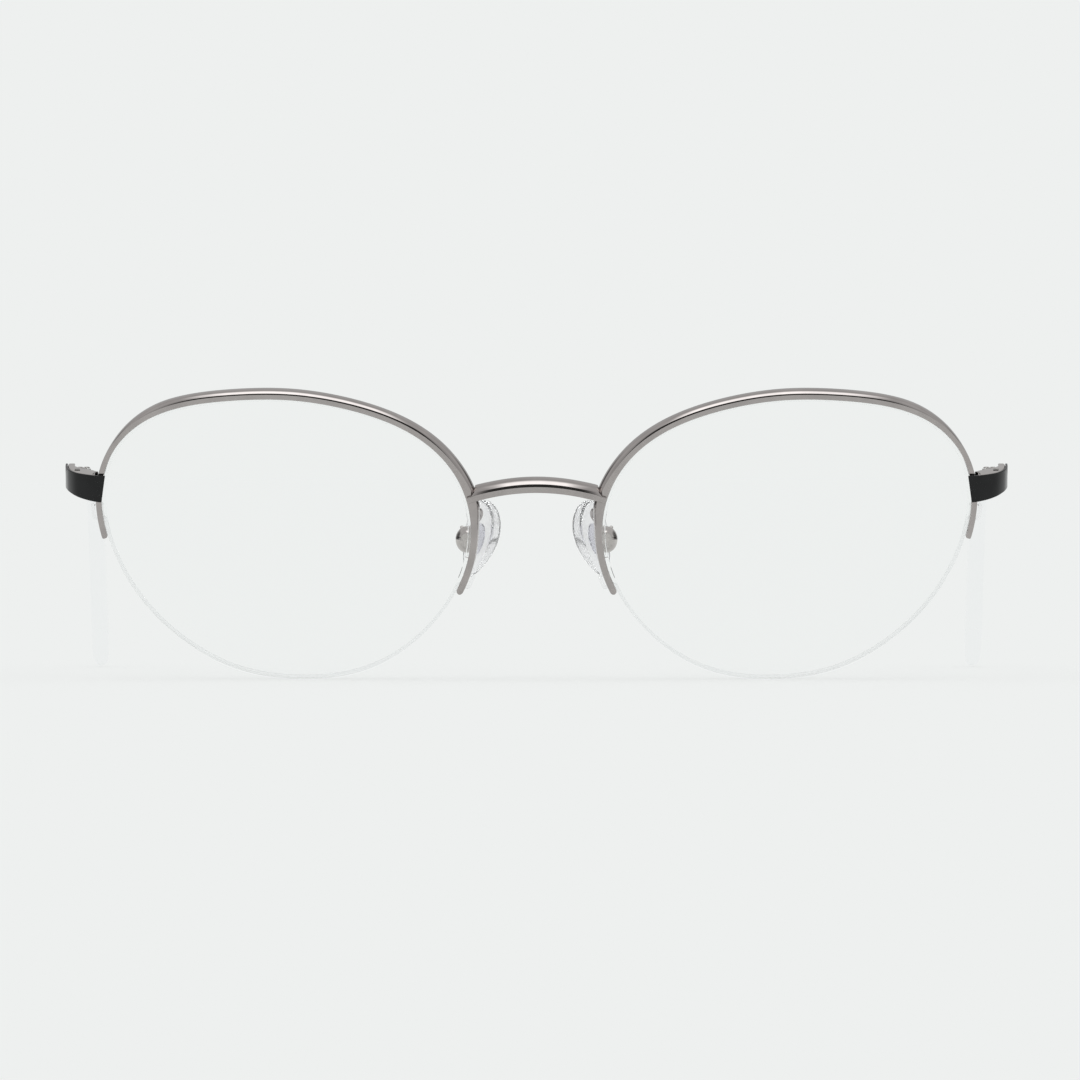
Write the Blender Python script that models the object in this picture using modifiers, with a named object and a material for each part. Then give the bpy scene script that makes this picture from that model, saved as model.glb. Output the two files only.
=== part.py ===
"""Half rim eyeglasses with folding temples and rocking nose pads.

The front faces -Y, +Z is up and +X is the wearer's left. The glasses stand open on the
lower edges of the lenses and on the ends of the temple tips.
"""

import math

import bmesh
import bpy
from mathutils import Matrix, Vector

MM = 0.001
OBJECT = "half_rim_eyeglasses"
SIDES = (("right", -1), ("left", 1))

# How the front is worn, and where it stands
TILT = math.radians(14)
WRAP = math.radians(5)
FRONT_SHIFT = Vector((0, -66.75 * MM, 0.168 * MM))

# Lenses. The outline's angles run from the nose over the top, and its radii are even steps.
LENS_OUT = 36.4 * MM
LENS_UP = 19.7 * MM
LENS_RADII = (
    26.5, 26.1, 23.55, 21.25, 20.75, 22.1, 25.85, 28.5,
    26.7, 24.0, 22.1, 21.25, 21.05, 22.05, 23.5, 25.1,
)
LENS_CURVE = 130 * MM
LENS_THICK = 2.0 * MM
LENS_STEP = 6
LENS_BEVEL = 0.12 * MM
GROOVE_WIDE = 0.6 * MM
GROOVE_DEEP = 0.5 * MM

# Half rims
RIM_START = -16.5
RIM_END = 180.2
RIM_GAP = 0.06 * MM
RIM_PROUD = 0.25 * MM
RIM_DEEP = 2.5 * MM
RIM_FACE_TOP = 0.76 * MM
RIM_FACE_NOSE = 1.0 * MM
RIM_FACE_TEMPLE = 0.85 * MM
RIM_CROWN = 0.69 * MM
RIM_CROWN_LEG = 0.08 * MM
CROWN_BEND = 1.05 * MM
CROWN_NORMAL = math.radians(20)
CHANNEL_WIDE = 0.8 * MM
CHANNEL_BOTTOM = 0.46 * MM
LINER_WIDE = 0.52 * MM
LINER_DEEP = 0.86 * MM
LINER_ENDS = (-6, 162)

# Lens cords, and the holes near the ends of each rim
CORD_RADIUS = 0.26 * MM
CORD_OUT = -0.2 * MM
CORD_ENDS = (-180, -18)
HOLE_RADIUS = 0.33 * MM
NOSE_HOLES = (-11, -15)
TEMPLE_HOLES = (171.5, 175.5)

# Bridge
BRIDGE_FACE = 0.8 * MM
BRIDGE_TALL = 1.9 * MM
BRIDGE_DEEP = 2.75 * MM
BRIDGE_LIP = 0.33 * MM
BRIDGE_UP = 27.35 * MM
BRIDGE_FALL = 19.5
BRIDGE_BACK = 1.72 * MM
BRIDGE_BOW = 12.5
BRIDGE_BAR = ((0, 0), (1.2, 0), (2.4, 0), (3.6, 0), (4.8, 0), (6.0, 0), (6.9, 0.05), (7.6, 0.1))
BRIDGE_ENDS = ((7.6, 0.1), (8.6, 0.1), (9.3, 0.13), (10.0, 0.3))

# Endpieces, their facings and the plane where the temples start
SIDE_OUT = 68.8 * MM
BAND_TOP = 28.45 * MM
BAND_TALL = (4.0 * MM, 3.2 * MM)
BAND_BENDS = ((63.1, 7.52), (64.6, 7.85), (66.2, 8.68), (67.35, 9.65), (68.24, 11.2), (68.68, 12.8), (68.8, 13.8))
FACING_THICK = 0.33 * MM
ENDPIECE_START = 64.35 * MM
ENDPIECE_THICK = (2.1, 2.5, 2.9, 3.0, 2.6, 1.7, 1.37)
BAND_THICK = 1.0 * MM
BAND_LEAN = -0.139
BAND_LEAN_UP = 26.5 * MM
BAND_STEPS = 2
BAND_CORNER = 0.12 * MM
BAND_CLEAR = 0.4 * MM
SKIN_GAP = 0.04 * MM
SPLIT_GAP = 0.05 * MM

# Hinges
HINGE_OUT = 66.2 * MM
HINGE_BACK = 7.85 * MM
HINGE_UP = 29.3 * MM
KNUCKLE_RADIUS = 1.1 * MM
KNUCKLE_HALF = 1.2 * MM
KNUCKLE_MIDDLE = 0.45 * MM
KNUCKLE_GAP = 0.05 * MM
LEAF_THICK = 0.78 * MM
LEAF_OUT = SIDE_OUT - FACING_THICK - 2 * SKIN_GAP - BAND_THICK
LEAF_LONG = 6.5 * MM
LEAF_SHORT = 3.8 * MM
LEAF_CLEAR = 1.2 * MM
PIN_RADIUS = 0.55 * MM
PIN_HOLE = 0.62 * MM
PIN_HEAD_RADIUS = 0.95 * MM
PIN_HEAD_TALL = 0.25 * MM
SLOT_WIDE = 0.3 * MM
SLOT_DEEP = 0.12 * MM

# Temples and their tips
TEMPLE_STRAIGHT = 90 * MM
TEMPLE_BEND = 22 * MM
TEMPLE_DROP = math.radians(39.42)
TEMPLE_SLOPE = 0.0105
TEMPLE_ROUNDING = 0.12
TEMPLE_STATIONS = ((0.05, 3.15, 1.37), (6, 3.15, 1.37), (16, 3.0, 1.2), (50, 2.9, 1.1), (87.9, 2.7, 1.1))
TIP_START = 88 * MM
TIP_PROUD = 0.35 * MM
TIP_ROUNDING = 0.4
TIP_STATIONS = (
    (88, 0.35, 3.0, 2.1), (88.5, 0.2, 3.3, 2.4), (95, 0.2, 3.4, 2.4), (99, 0.2, 3.5, 2.4), (103, 0.2, 3.8, 2.4),
    (107, 0.2, 4.2, 2.4), (120, 0.2, 5.8, 2.5), (130, 0.2, 6.4, 2.5), (136, 0.3, 5.9, 2.3), (138.8, 0.5, 4.2, 1.8),
    (140, 0.8, 2.0, 1.0),
)
CORE_TALL = 1.6 * MM
CORE_THICK = 0.9 * MM
CORE_DEEP = 0.1 * MM
CORE_ROUNDING = 0.3
CORE_BENDS = (91, 95, 99, 102)
CORE_END = 104 * MM
BORE_TALL = 1.9 * MM
BORE_THICK = 1.2 * MM
BORE_END = 104.6 * MM

# Nose pads. The pad's back looks outwards and forwards at the box.
PAD_PLACE = Vector((8.15 * MM, 7.9 * MM, 20.2 * MM))
PAD_LONG = Vector((-0.284, -0.404, 0.869)).normalized()
PAD_FACE = Vector((-0.819, 0.574, 0)).normalized()
PAD_HALF_LONG = 6.0 * MM
PAD_HALF_WIDE = 3.5 * MM
PAD_HALF_THICK = 1.4 * MM
PAD_SCREW_TURN = math.radians(70)
BOX_RADIUS = 1.95 * MM
BOX_MOUTH = 1.75 * MM
BOX_END = 4.0 * MM
BOX_SOCKET_RADIUS = 1.2 * MM
BOX_SOCKET_END = 3.25 * MM
EYE_BACK = 2.35 * MM
EYE_HOLE = 0.38 * MM
PAD_PIN_RADIUS = 0.3 * MM
PAD_PIN_HEAD = 0.6 * MM
PAD_EGG = 0.4
INSERT_PLATE = (0.15 * MM, 0.65 * MM)
INSERT_HALF_LONG = 2.6 * MM
INSERT_HALF_WIDE = 1.5 * MM
TONGUE_HALF = 0.75 * MM
TONGUE_THICK = 0.9 * MM
POCKET_GAP = 0.05 * MM
POCKET_MOUTH = 0.95 * MM
ARM_RADIUS = 0.45 * MM
ARM_GAP = 0.12 * MM
ARM_ANGLE = 8
ARM_BENDS = (
    (8.9, 0.95, 24.4), (8.45, 1.9, 24.4), (8.22, 2.9, 24.15), (8.3, 4.0, 23.6), (8.75, 4.9, 22.95), (9.25, 5.4, 22.4),
)
ARM_END_BACK = 2.4 * MM

METAL = ((0.45, 0.44, 0.43, 1), 0.28, 1.0)
POLISHED = ((0.55, 0.53, 0.52, 1), 0.12, 1.0)
STEEL = ((0.62, 0.61, 0.60, 1), 0.18, 1.0)
LACQUER = ((0.012, 0.012, 0.013, 1), 0.15, 0.0)
ACETATE = ((0.9, 0.92, 0.93, 1), 0.06, 0.0)
CLEAR = ((0.93, 0.96, 0.95, 1), 0.03, 0.0)
NYLON = ((0.88, 0.89, 0.89, 1), 0.3, 0.0)
SILICONE = ((0.85, 0.86, 0.88, 1), 0.25, 0.0)
INSERT = ((0.62, 0.63, 0.68, 1), 0.35, 0.0)


def clear_scene():
    for item in list(bpy.data.objects):
        bpy.data.objects.remove(item, do_unlink=True)


def new_collection(name, hidden=False):
    group = bpy.data.collections.new(name)
    bpy.context.scene.collection.children.link(group)
    group.hide_render = hidden
    return group


def new_material(name, look):
    colour, roughness, metallic = look
    material = bpy.data.materials.new(name)
    material.use_nodes = True
    shader = material.node_tree.nodes["Principled BSDF"]
    shader.inputs["Base Color"].default_value = colour
    shader.inputs["Roughness"].default_value = roughness
    shader.inputs["Metallic"].default_value = metallic
    return material


def add_piece(name, bm, look, pivot=None):
    """A new part from a bmesh in world places, held by the pivot's empty if it has one."""
    origin = pivot.location if pivot else Vector((0, 0, 0))
    bmesh.ops.recalc_face_normals(bm, faces=bm.faces)
    if bm.calc_volume(signed=True) < 0:
        bmesh.ops.reverse_faces(bm, faces=bm.faces)
    bmesh.ops.translate(bm, vec=-origin, verts=bm.verts)
    mesh = bpy.data.meshes.new(name)
    bm.to_mesh(mesh)
    bm.free()
    mesh.materials.append(new_material(name, look))
    piece = bpy.data.objects.new(name, mesh)
    PARTS.objects.link(piece)
    piece.parent = pivot
    mesh.shade_smooth()
    mesh.set_sharp_from_angle(angle=math.radians(35))
    return piece


def add_pivot(name, place):
    pivot = bpy.data.objects.new(name, None)
    pivot.location = place
    pivot.empty_display_size = 3 * MM
    PARTS.objects.link(pivot)
    return pivot


def add_loft(bm, rings, capped=(True, True)):
    """A skin through rings of points, closed at its first and last ring."""
    loops = [[bm.verts.new(point) for point in ring] for ring in rings]
    for first, second in zip(loops, loops[1:]):
        for index in range(len(first)):
            after = (index + 1) % len(first)
            bm.faces.new((first[index], first[after], second[after], second[index]))
    for loop, closed in zip((loops[0], loops[-1]), capped):
        if closed:
            bm.faces.new(loop)


def loft(name, rings, look, pivot=None):
    bm = bmesh.new()
    add_loft(bm, rings)
    return add_piece(name, bm, look, pivot)


def along(place, direction):
    """A placing matrix whose Z runs along the direction."""
    return Matrix.Translation(place) @ direction.to_track_quat("Z", "X").to_matrix().to_4x4()


def add_cutter(name, bm):
    mesh = bpy.data.meshes.new(name)
    bm.to_mesh(mesh)
    bm.free()
    cutter = bpy.data.objects.new(name, mesh)
    cutter.display_type = "WIRE"
    cutter.hide_render = True
    CUTTERS.objects.link(cutter)
    return cutter


def rod_cutter(name, start, end, radius, sides=12):
    bm = bmesh.new()
    middle = along((start + end) / 2, end - start)
    bmesh.ops.create_cone(
        bm, cap_ends=True, segments=sides, radius1=radius, radius2=radius, depth=(end - start).length, matrix=middle
    )
    return add_cutter(name, bm)


def box_cutter(name, place, size):
    """A box of the given size about the origin, moved by a placing matrix."""
    bm = bmesh.new()
    bmesh.ops.create_cube(bm, size=1, matrix=place @ Matrix.Diagonal((*size, 1)))
    return add_cutter(name, bm)


def combine(piece, cutter, operation="DIFFERENCE"):
    modifier = piece.modifiers.new(cutter.name, "BOOLEAN")
    modifier.operation = operation
    modifier.object = cutter
    modifier.solver = "EXACT"


def meshed(curve, name, look, pivot=None):
    """Turns a curve into a mesh part in the same place, with its caps welded on."""
    bpy.context.view_layer.update()
    evaluated = curve.evaluated_get(bpy.context.evaluated_depsgraph_get())
    mesh = bpy.data.meshes.new_from_object(evaluated)
    bm = bmesh.new()
    bm.from_mesh(mesh)
    bm.transform(curve.matrix_world)
    bmesh.ops.remove_doubles(bm, verts=bm.verts, dist=0.001 * MM)
    bpy.data.objects.remove(curve)
    return add_piece(name, bm, look, pivot)


def flat_plate(name, outline, thick, place, look, pivot=None):
    """A plate of (x, y) points, its thickness about their plane, moved by a placing matrix."""
    curve = bpy.data.curves.new(name, "CURVE")
    curve.dimensions = "2D"
    curve.fill_mode = "BOTH"
    curve.extrude = thick / 2
    spline = curve.splines.new("POLY")
    spline.points.add(len(outline) - 1)
    for point, (x, y) in zip(spline.points, outline):
        point.co = (x, y, 0, 1)
    spline.use_cyclic_u = True
    holder = bpy.data.objects.new(name, curve)
    PARTS.objects.link(holder)
    holder.matrix_world = place
    return meshed(holder, name, look, pivot)


def wire(name, route, radius, look):
    """A round wire or cord along a route of points."""
    curve = bpy.data.curves.new(name, "CURVE")
    curve.dimensions = "3D"
    curve.bevel_depth = radius
    curve.bevel_resolution = 2
    curve.use_fill_caps = True
    spline = curve.splines.new("POLY")
    spline.points.add(len(route) - 1)
    for point, place in zip(spline.points, route):
        point.co = (*place, 1)
    curve.materials.append(new_material(name, look))
    piece = bpy.data.objects.new(name, curve)
    PARTS.objects.link(piece)
    return piece


def turned(name, profile, place, direction, look, steps=16):
    """A turned piece from (radius, height) points, run from the top down, on an axis in the world."""
    bm = bmesh.new()
    points = [bm.verts.new((radius, 0, height)) for radius, height in profile]
    for first, second in zip(points, points[1:]):
        bm.edges.new((first, second))
    mesh = bpy.data.meshes.new(name)
    bm.to_mesh(mesh)
    bm.free()
    mesh.materials.append(new_material(name, look))
    piece = bpy.data.objects.new(name, mesh)
    piece.matrix_world = along(place, direction)
    PARTS.objects.link(piece)
    screw = piece.modifiers.new("turn", "SCREW")
    screw.steps = steps
    screw.render_steps = steps
    screw.use_merge_vertices = True
    screw.merge_threshold = 0.001 * MM
    screw.use_smooth_shade = True
    return piece


def smooth_curve(points, steps):
    """Points on a smooth line through the given ones, with steps to each stretch."""
    ends = [2 * points[0] - points[1], *points, 2 * points[-1] - points[-2]]
    line = []
    for before, start, end, after in zip(ends, ends[1:], ends[2:], ends[3:]):
        for step in range(steps):
            t = step / steps
            line.append(
                (2 * start + (end - before) * t + (2 * before - 5 * start + 4 * end - after) * t**2
                 + (3 * start - before - 3 * end + after) * t**3) / 2
            )
    return line + [points[-1]]


def ease(value, start, end):
    """0 before start and 1 after end, with a smooth step between."""
    t = min(max((value - start) / (end - start), 0), 1)
    return t * t * (3 - 2 * t)


def tilted(side, x, back, up):
    """A place on the front: x out from the middle, back and up before the front is tilted."""
    y = back * math.cos(TILT) - up * math.sin(TILT)
    z = back * math.sin(TILT) + up * math.cos(TILT)
    return Vector((side * x, y, z)) + FRONT_SHIFT


def wrapped(side, out, depth, up):
    """A place on one half of the front, which is turned back by the wrap."""
    x = out * math.cos(WRAP) - depth * math.sin(WRAP)
    back = out * math.sin(WRAP) + depth * math.cos(WRAP)
    return tilted(side, x, back, up)


def lens_radius(angle):
    """The outline's radius, as the smoothest wave through LENS_RADII."""
    count = len(LENS_RADII)
    radius = 0
    for index, given in enumerate(LENS_RADII):
        turn = angle - index * 2 * math.pi / count
        slope = math.tan(turn / 2)
        share = math.sin(count * turn / 2) / (count * slope) if abs(slope) > 1e-9 else 1
        radius += given * share * MM
    return radius


def angles(start, end):
    """The start, the lens's own steps on the way to the end, and the end."""
    first = math.ceil((start + 2) / LENS_STEP) * LENS_STEP
    return [start, *range(first, math.floor(end) - 1, LENS_STEP), end]


def outline(degrees):
    """(out, up) on the lens's edge."""
    angle = math.radians(degrees)
    radius = lens_radius(angle)
    return Vector((LENS_OUT - radius * math.cos(angle), LENS_UP + radius * math.sin(angle)))


def sag(point):
    """How far the lens's front surface has curved back at an (out, up) point."""
    return ((point.x - LENS_OUT) ** 2 + (point.y - LENS_UP) ** 2) / (2 * LENS_CURVE)


def edge_point(side, degrees, away, depth):
    """A place beside the lens's edge: away outwards from it, and depth behind its front corner."""
    edge = outline(degrees)
    run = outline(degrees + 0.01) - outline(degrees - 0.01)
    normal = Vector((-run.y, run.x)).normalized()
    place = edge + normal * away
    return wrapped(side, place.x, sag(edge) + depth, place.y)


def lens(name, side):
    """A curved lens with bevelled edges and a groove round its edge."""
    steps = range(0, 360, LENS_STEP)

    def surface_ring(share, depth):
        centre = Vector((LENS_OUT, LENS_UP))
        points = [centre + (outline(degrees) - centre) * share for degrees in steps]
        return [wrapped(side, point.x, sag(point) + depth, point.y) for point in points]

    middle = LENS_THICK / 2
    edge = (
        (-LENS_BEVEL, 0),
        (0, LENS_BEVEL),
        (0, middle - GROOVE_WIDE / 2),
        (-GROOVE_DEEP, middle - GROOVE_WIDE / 2),
        (-GROOVE_DEEP, middle + GROOVE_WIDE / 2),
        (0, middle + GROOVE_WIDE / 2),
        (0, LENS_THICK - LENS_BEVEL),
        (-LENS_BEVEL, LENS_THICK),
    )
    shares = (0.03, 0.4, 0.75)
    rings = [surface_ring(share, 0) for share in shares]
    rings += [[edge_point(side, degrees, away, depth) for degrees in steps] for away, depth in edge]
    rings += [surface_ring(share, LENS_THICK) for share in reversed(shares)]
    return loft(name, rings, CLEAR)


def rim_face(degrees):
    width = RIM_FACE_NOSE + (RIM_FACE_TOP - RIM_FACE_NOSE) * ease(degrees, 5, 30)
    return width + (RIM_FACE_TEMPLE - RIM_FACE_TOP) * ease(degrees, 150, 170)


def rim_crown(degrees):
    """How far the rim's outer side bulges. It is full over the top and nearly flat on the legs."""
    full = ease(degrees, 2, 13) * (1 - ease(degrees, 132, 156))
    return RIM_CROWN_LEG + (RIM_CROWN - RIM_CROWN_LEG) * full


def crown_arc(steps):
    """(share of the crown's height, depth) from the front face round to the crown's top."""
    low = math.sin(CROWN_NORMAL)
    arc = []
    for step in range(steps + 1):
        normal = CROWN_NORMAL + (math.pi / 2 - CROWN_NORMAL) * step / steps
        arc.append(((math.sin(normal) - low) / (1 - low), CROWN_BEND * (math.cos(CROWN_NORMAL) - math.cos(normal))))
    return arc


def rim_outside(degrees):
    return rim_face(degrees) + rim_crown(degrees)


def rim(name, side):
    """A half rim: a flat front face, a rounded outer side and a channel for the liner and cord."""
    front = -RIM_PROUD
    back = front + RIM_DEEP
    middle = LENS_THICK / 2
    channel = (middle - CHANNEL_WIDE / 2, middle + CHANNEL_WIDE / 2)

    def section(degrees, shrink=1.0):
        face = rim_face(degrees)
        crown = rim_crown(degrees)
        points = [(RIM_GAP, front)]
        arc = crown_arc(4)
        points += [(face + crown * share, front + depth) for share, depth in arc]
        points += [(face + crown * share, back - depth) for share, depth in reversed(arc)]
        points += [(RIM_GAP, back), (RIM_GAP, channel[1]), (CHANNEL_BOTTOM, channel[1])]
        points += [(CHANNEL_BOTTOM, channel[0]), (RIM_GAP, channel[0])]
        centre = (RIM_GAP + face) / 2
        return [edge_point(side, degrees, centre + (away - centre) * shrink, depth) for away, depth in points]

    rounding = ((1.1, 0.45), (0.75, 0.8))
    rings = [section(RIM_START - beyond, shrink) for beyond, shrink in rounding]
    rings += [section(degrees) for degrees in angles(RIM_START, RIM_END)]
    rings += [section(RIM_END + beyond, shrink) for beyond, shrink in reversed(rounding)]
    piece = loft(name, rings, METAL)
    for degrees in NOSE_HOLES + TEMPLE_HOLES:
        start = edge_point(side, degrees, RIM_GAP + 0.1 * MM, middle)
        end = edge_point(side, degrees, rim_outside(degrees) + 0.5 * MM, middle)
        combine(piece, rod_cutter(f"{name}_hole_{degrees}", start, end, HOLE_RADIUS, 8))
    return piece


def rim_liner(name, side):
    """The strip in the rim's channel that the lens's groove sits on."""
    middle = LENS_THICK / 2
    high = CHANNEL_BOTTOM - 0.05 * MM
    corners = ((-1, high), (1, high), (1, high - LINER_DEEP), (-1, high - LINER_DEEP))
    rings = []
    for degrees in angles(*LINER_ENDS):
        rings.append([edge_point(side, degrees, away, middle + half * LINER_WIDE / 2) for half, away in corners])
    return loft(name, rings, NYLON)


def cord_end(side, holes, onward):
    """One end of a lens cord: in at the far hole, outside the rim, and back in to the lens's groove."""
    middle = LENS_THICK / 2
    bend = 0.35 * MM
    turn = 0.5 * MM
    route = []

    def step(hole, distance, away):
        degrees = hole + onward * math.degrees(distance / lens_radius(math.radians(hole)))
        route.append(edge_point(side, degrees, away, middle))

    far, near = holes
    wall = rim_outside(far) + 0.07 * MM
    step(far, 0, -0.1 * MM)
    step(far, 0, wall)
    for part in (30, 60, 90):
        angle = math.radians(part)
        step(far, bend * (1 - math.cos(angle)), wall + bend * math.sin(angle))
    for part in (90, 60, 30):
        angle = math.radians(part)
        step(near, -bend * (1 - math.cos(angle)), wall + bend * math.sin(angle))
    step(near, 0, wall)
    for part in (0, 30, 60, 90):
        angle = math.radians(part)
        step(near, turn * (1 - math.cos(angle)), CORD_OUT + turn * (1 - math.sin(angle)))
    return route


def nylon_cord(name, side):
    """The cord in the lower part of the lens's groove, with its looped ends."""
    nose = cord_end(side, NOSE_HOLES, -1)
    temple = cord_end(side, [hole - 360 for hole in TEMPLE_HOLES], 1)
    below = [edge_point(side, degrees, CORD_OUT, LENS_THICK / 2) for degrees in angles(*CORD_ENDS)]
    return wire(name, nose + below[::-1] + temple[::-1], CORD_RADIUS, NYLON)


def bridge(name):
    """The arched bar, which ends in thin lips over the faces of both rims."""

    def place(x, above, behind, lean):
        rise = BRIDGE_UP - BRIDGE_FALL * x * x
        bow = BRIDGE_BACK + BRIDGE_BOW * x * x
        shift = lean * (above - BRIDGE_FACE / 2)
        return tilted(1, x + shift, bow + behind, rise + above)

    crown = (
        (0, 0),
        (BRIDGE_FACE, 0),
        (1.14 * MM, 0.12 * MM),
        (1.5 * MM, 0.42 * MM),
        (1.78 * MM, 0.95 * MM),
        (BRIDGE_TALL, 1.65 * MM),
        (1.76 * MM, 2.3 * MM),
        (1.35 * MM, BRIDGE_DEEP),
        (0.2 * MM, BRIDGE_DEEP),
        (0, 2.5 * MM),
    )
    lip = (
        (0, 0),
        (BRIDGE_FACE, 0),
        (0.9 * MM, 0.06 * MM),
        (0.96 * MM, 0.12 * MM),
        (0.98 * MM, 0.18 * MM),
        (0.96 * MM, 0.24 * MM),
        (0.9 * MM, 0.29 * MM),
        (BRIDGE_FACE, BRIDGE_LIP),
        (0.2 * MM, BRIDGE_LIP),
        (0, 0.28 * MM),
    )
    rings = []
    for shape, stations in ((crown, BRIDGE_BAR), (lip, BRIDGE_ENDS)):
        for x, lean in stations:
            rings.append([place(x * MM, above, behind, lean) for above, behind in shape])
    bm = bmesh.new()
    add_loft(bm, rings, capped=(False, True))
    piece = add_piece(name, bm, METAL)
    mirror = piece.modifiers.new("other_half", "MIRROR")
    mirror.merge_threshold = 0.001 * MM
    return piece


def band_line():
    """(place, inward normal) down the facing's outer side, seen from above, as far as the hinge."""
    bends = [Vector(bend) * MM for bend in BAND_BENDS]
    places = smooth_curve(bends, BAND_STEPS)
    line = []
    for index, place in enumerate(places):
        run = places[min(index + 1, len(places) - 1)] - places[max(index - 1, 0)]
        line.append((place, Vector((-run.y, run.x)).normalized()))
    return line


def band_section(side, place, inward, near, far, tall, lean=Vector((0, 0)), end=None):
    """A chamfered upright section of the band, from near to far behind its outer side."""
    shape = (
        (near + BAND_CORNER, -tall), (near, BAND_CORNER - tall), (near, -BAND_CORNER), (near + BAND_CORNER, 0),
        (far - BAND_CORNER, 0), (far, -BAND_CORNER), (far, BAND_CORNER - tall), (far - BAND_CORNER, -tall),
    )
    ring = []
    for behind, above in shape:
        up = BAND_TOP + above
        point = place + inward * behind + lean * (up - BAND_LEAN_UP)
        back = point.y if end is None else (end + up * math.sin(TILT)) / math.cos(TILT)
        ring.append(tilted(side, point.x, back, up))
    return ring


def band_rings(side, near, far_at, start, lean):
    """Sections from the rim, round the bend and back to the plane where the temple starts."""
    line = band_line()
    place, inward = line[0]
    along_face = Vector((inward.y, -inward.x))
    place += along_face * (start - place.x) / along_face.x
    rings = [band_section(side, place, Vector((0, 1)), near, far_at(0), BAND_TALL[0], along_face * lean)]
    for index, (place, normal) in enumerate(line):
        share = index / (len(line) - 1)
        tall = BAND_TALL[0] + (BAND_TALL[1] - BAND_TALL[0]) * ease(share, 0, 0.8)
        if place.x > start + BAND_CLEAR:
            rings.append(band_section(side, place, normal, near, far_at(share), tall))
    end = HINGE_BACK - SPLIT_GAP
    rings.append(band_section(side, line[-1][0], Vector((-1, 0)), near, far_at(1), BAND_TALL[1], end=end))
    return rings


def endpiece_facing(name, side):
    return loft(name, band_rings(side, 0, lambda share: FACING_THICK, BAND_BENDS[0][0] * MM, BAND_LEAN), LACQUER)


def endpiece(name, side):
    """The lug from the rim's outer side round to the hinge, thick in the bend, with a seat for the hinge leaf."""

    def far(share):
        place = share * (len(ENDPIECE_THICK) - 1)
        index = min(int(place), len(ENDPIECE_THICK) - 2)
        low, high = ENDPIECE_THICK[index:index + 2]
        return (low + (high - low) * (place - index)) * MM

    lug = loft(name, band_rings(side, FACING_THICK + 2 * SKIN_GAP, far, ENDPIECE_START, 0), METAL)
    seat_out = LEAF_OUT + SKIN_GAP
    seat_in = LEAF_OUT - LEAF_THICK - SKIN_GAP
    seat_long = LEAF_SHORT + 0.1 * MM
    middle = hinge_axis(side)
    middle.x = side * (seat_out + seat_in) / 2
    middle.y += 1 * MM - seat_long / 2
    size = (seat_out - seat_in, seat_long + 2 * MM, 2 * KNUCKLE_HALF + 0.1 * MM)
    combine(lug, box_cutter(f"{name}_seat", Matrix.Translation(middle), size))
    return lug


def hinge_axis(side):
    return Vector((side * HINGE_OUT, HINGE_BACK, HINGE_UP)) + FRONT_SHIFT


def hinge_leaf(name, side, onward, look, pivot=None):
    """One hinge leaf with its knuckles. onward is -1 towards the front and 1 along the temple."""
    axis = hinge_axis(side)
    outer = LEAF_OUT - HINGE_OUT
    inner = outer - LEAF_THICK
    reach = math.sqrt(KNUCKLE_RADIUS**2 - inner**2)
    long = LEAF_LONG if onward > 0 else LEAF_SHORT
    points = [(outer, 0), (outer, long), (inner, long), (inner, reach)]
    start = math.atan2(reach, inner)
    for step in range(1, 12):
        angle = start + (2 * math.pi - start) * step / 12
        points.append((KNUCKLE_RADIUS * math.cos(angle), KNUCKLE_RADIUS * math.sin(angle)))
    points = [(side * x, onward * y) for x, y in points]
    leaf = flat_plate(name, points, 2 * KNUCKLE_HALF, Matrix.Translation(axis), look, pivot)
    rise = Vector((0, 0, 5 * MM))
    combine(leaf, rod_cutter(f"{name}_pin_hole", axis - rise, axis + rise, PIN_HOLE, 16))
    slot_long = 5 * MM
    slot_middle = onward * (LEAF_CLEAR - slot_long / 2)
    spans = ((-KNUCKLE_MIDDLE - KNUCKLE_GAP, KNUCKLE_MIDDLE + KNUCKLE_GAP),)
    if onward > 0:
        spans = ((-2 * KNUCKLE_HALF, -KNUCKLE_MIDDLE), (KNUCKLE_MIDDLE, 2 * KNUCKLE_HALF))
    for index, (low, high) in enumerate(spans):
        place = Matrix.Translation(axis + Vector((0, slot_middle, (low + high) / 2)))
        combine(leaf, box_cutter(f"{name}_slot_{index}", place, (8 * MM, slot_long, high - low)))
    return leaf


def hinge_screw(name, side):
    """The hinge's pin: a screw with a slotted head, driven from above."""
    under = KNUCKLE_HALF + KNUCKLE_GAP
    top = under + PIN_HEAD_TALL
    profile = (
        (0, top),
        (PIN_HEAD_RADIUS - 0.2 * MM, top),
        (PIN_HEAD_RADIUS, top - 0.12 * MM),
        (PIN_HEAD_RADIUS, under),
        (PIN_RADIUS, under),
        (PIN_RADIUS, 0.1 * MM - KNUCKLE_HALF),
        (PIN_RADIUS - 0.12 * MM, -KNUCKLE_HALF),
        (0, -KNUCKLE_HALF),
    )
    axis = hinge_axis(side)
    piece = turned(name, profile, axis, Vector((0, 0, 1)), STEEL)
    place = Matrix.Translation(axis + Vector((0, 0, top)))
    combine(piece, box_cutter(f"{name}_slot", place, (SLOT_WIDE, 4 * MM, 2 * SLOT_DEEP)))
    return piece


def temple_place(distance):
    """(back, up) of the temple's middle line at a distance from the hinge, and its heading."""
    bend_long = TEMPLE_BEND * TEMPLE_DROP
    turn = min(max((distance - TEMPLE_STRAIGHT) / TEMPLE_BEND, 0), TEMPLE_DROP)
    straight = min(distance, TEMPLE_STRAIGHT)
    beyond = max(distance - TEMPLE_STRAIGHT - bend_long, 0)
    back = straight + TEMPLE_BEND * math.sin(turn) + beyond * math.cos(turn)
    up = -TEMPLE_BEND * (1 - math.cos(turn)) - beyond * math.sin(turn) - distance * TEMPLE_SLOPE
    return back, up, turn


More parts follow.
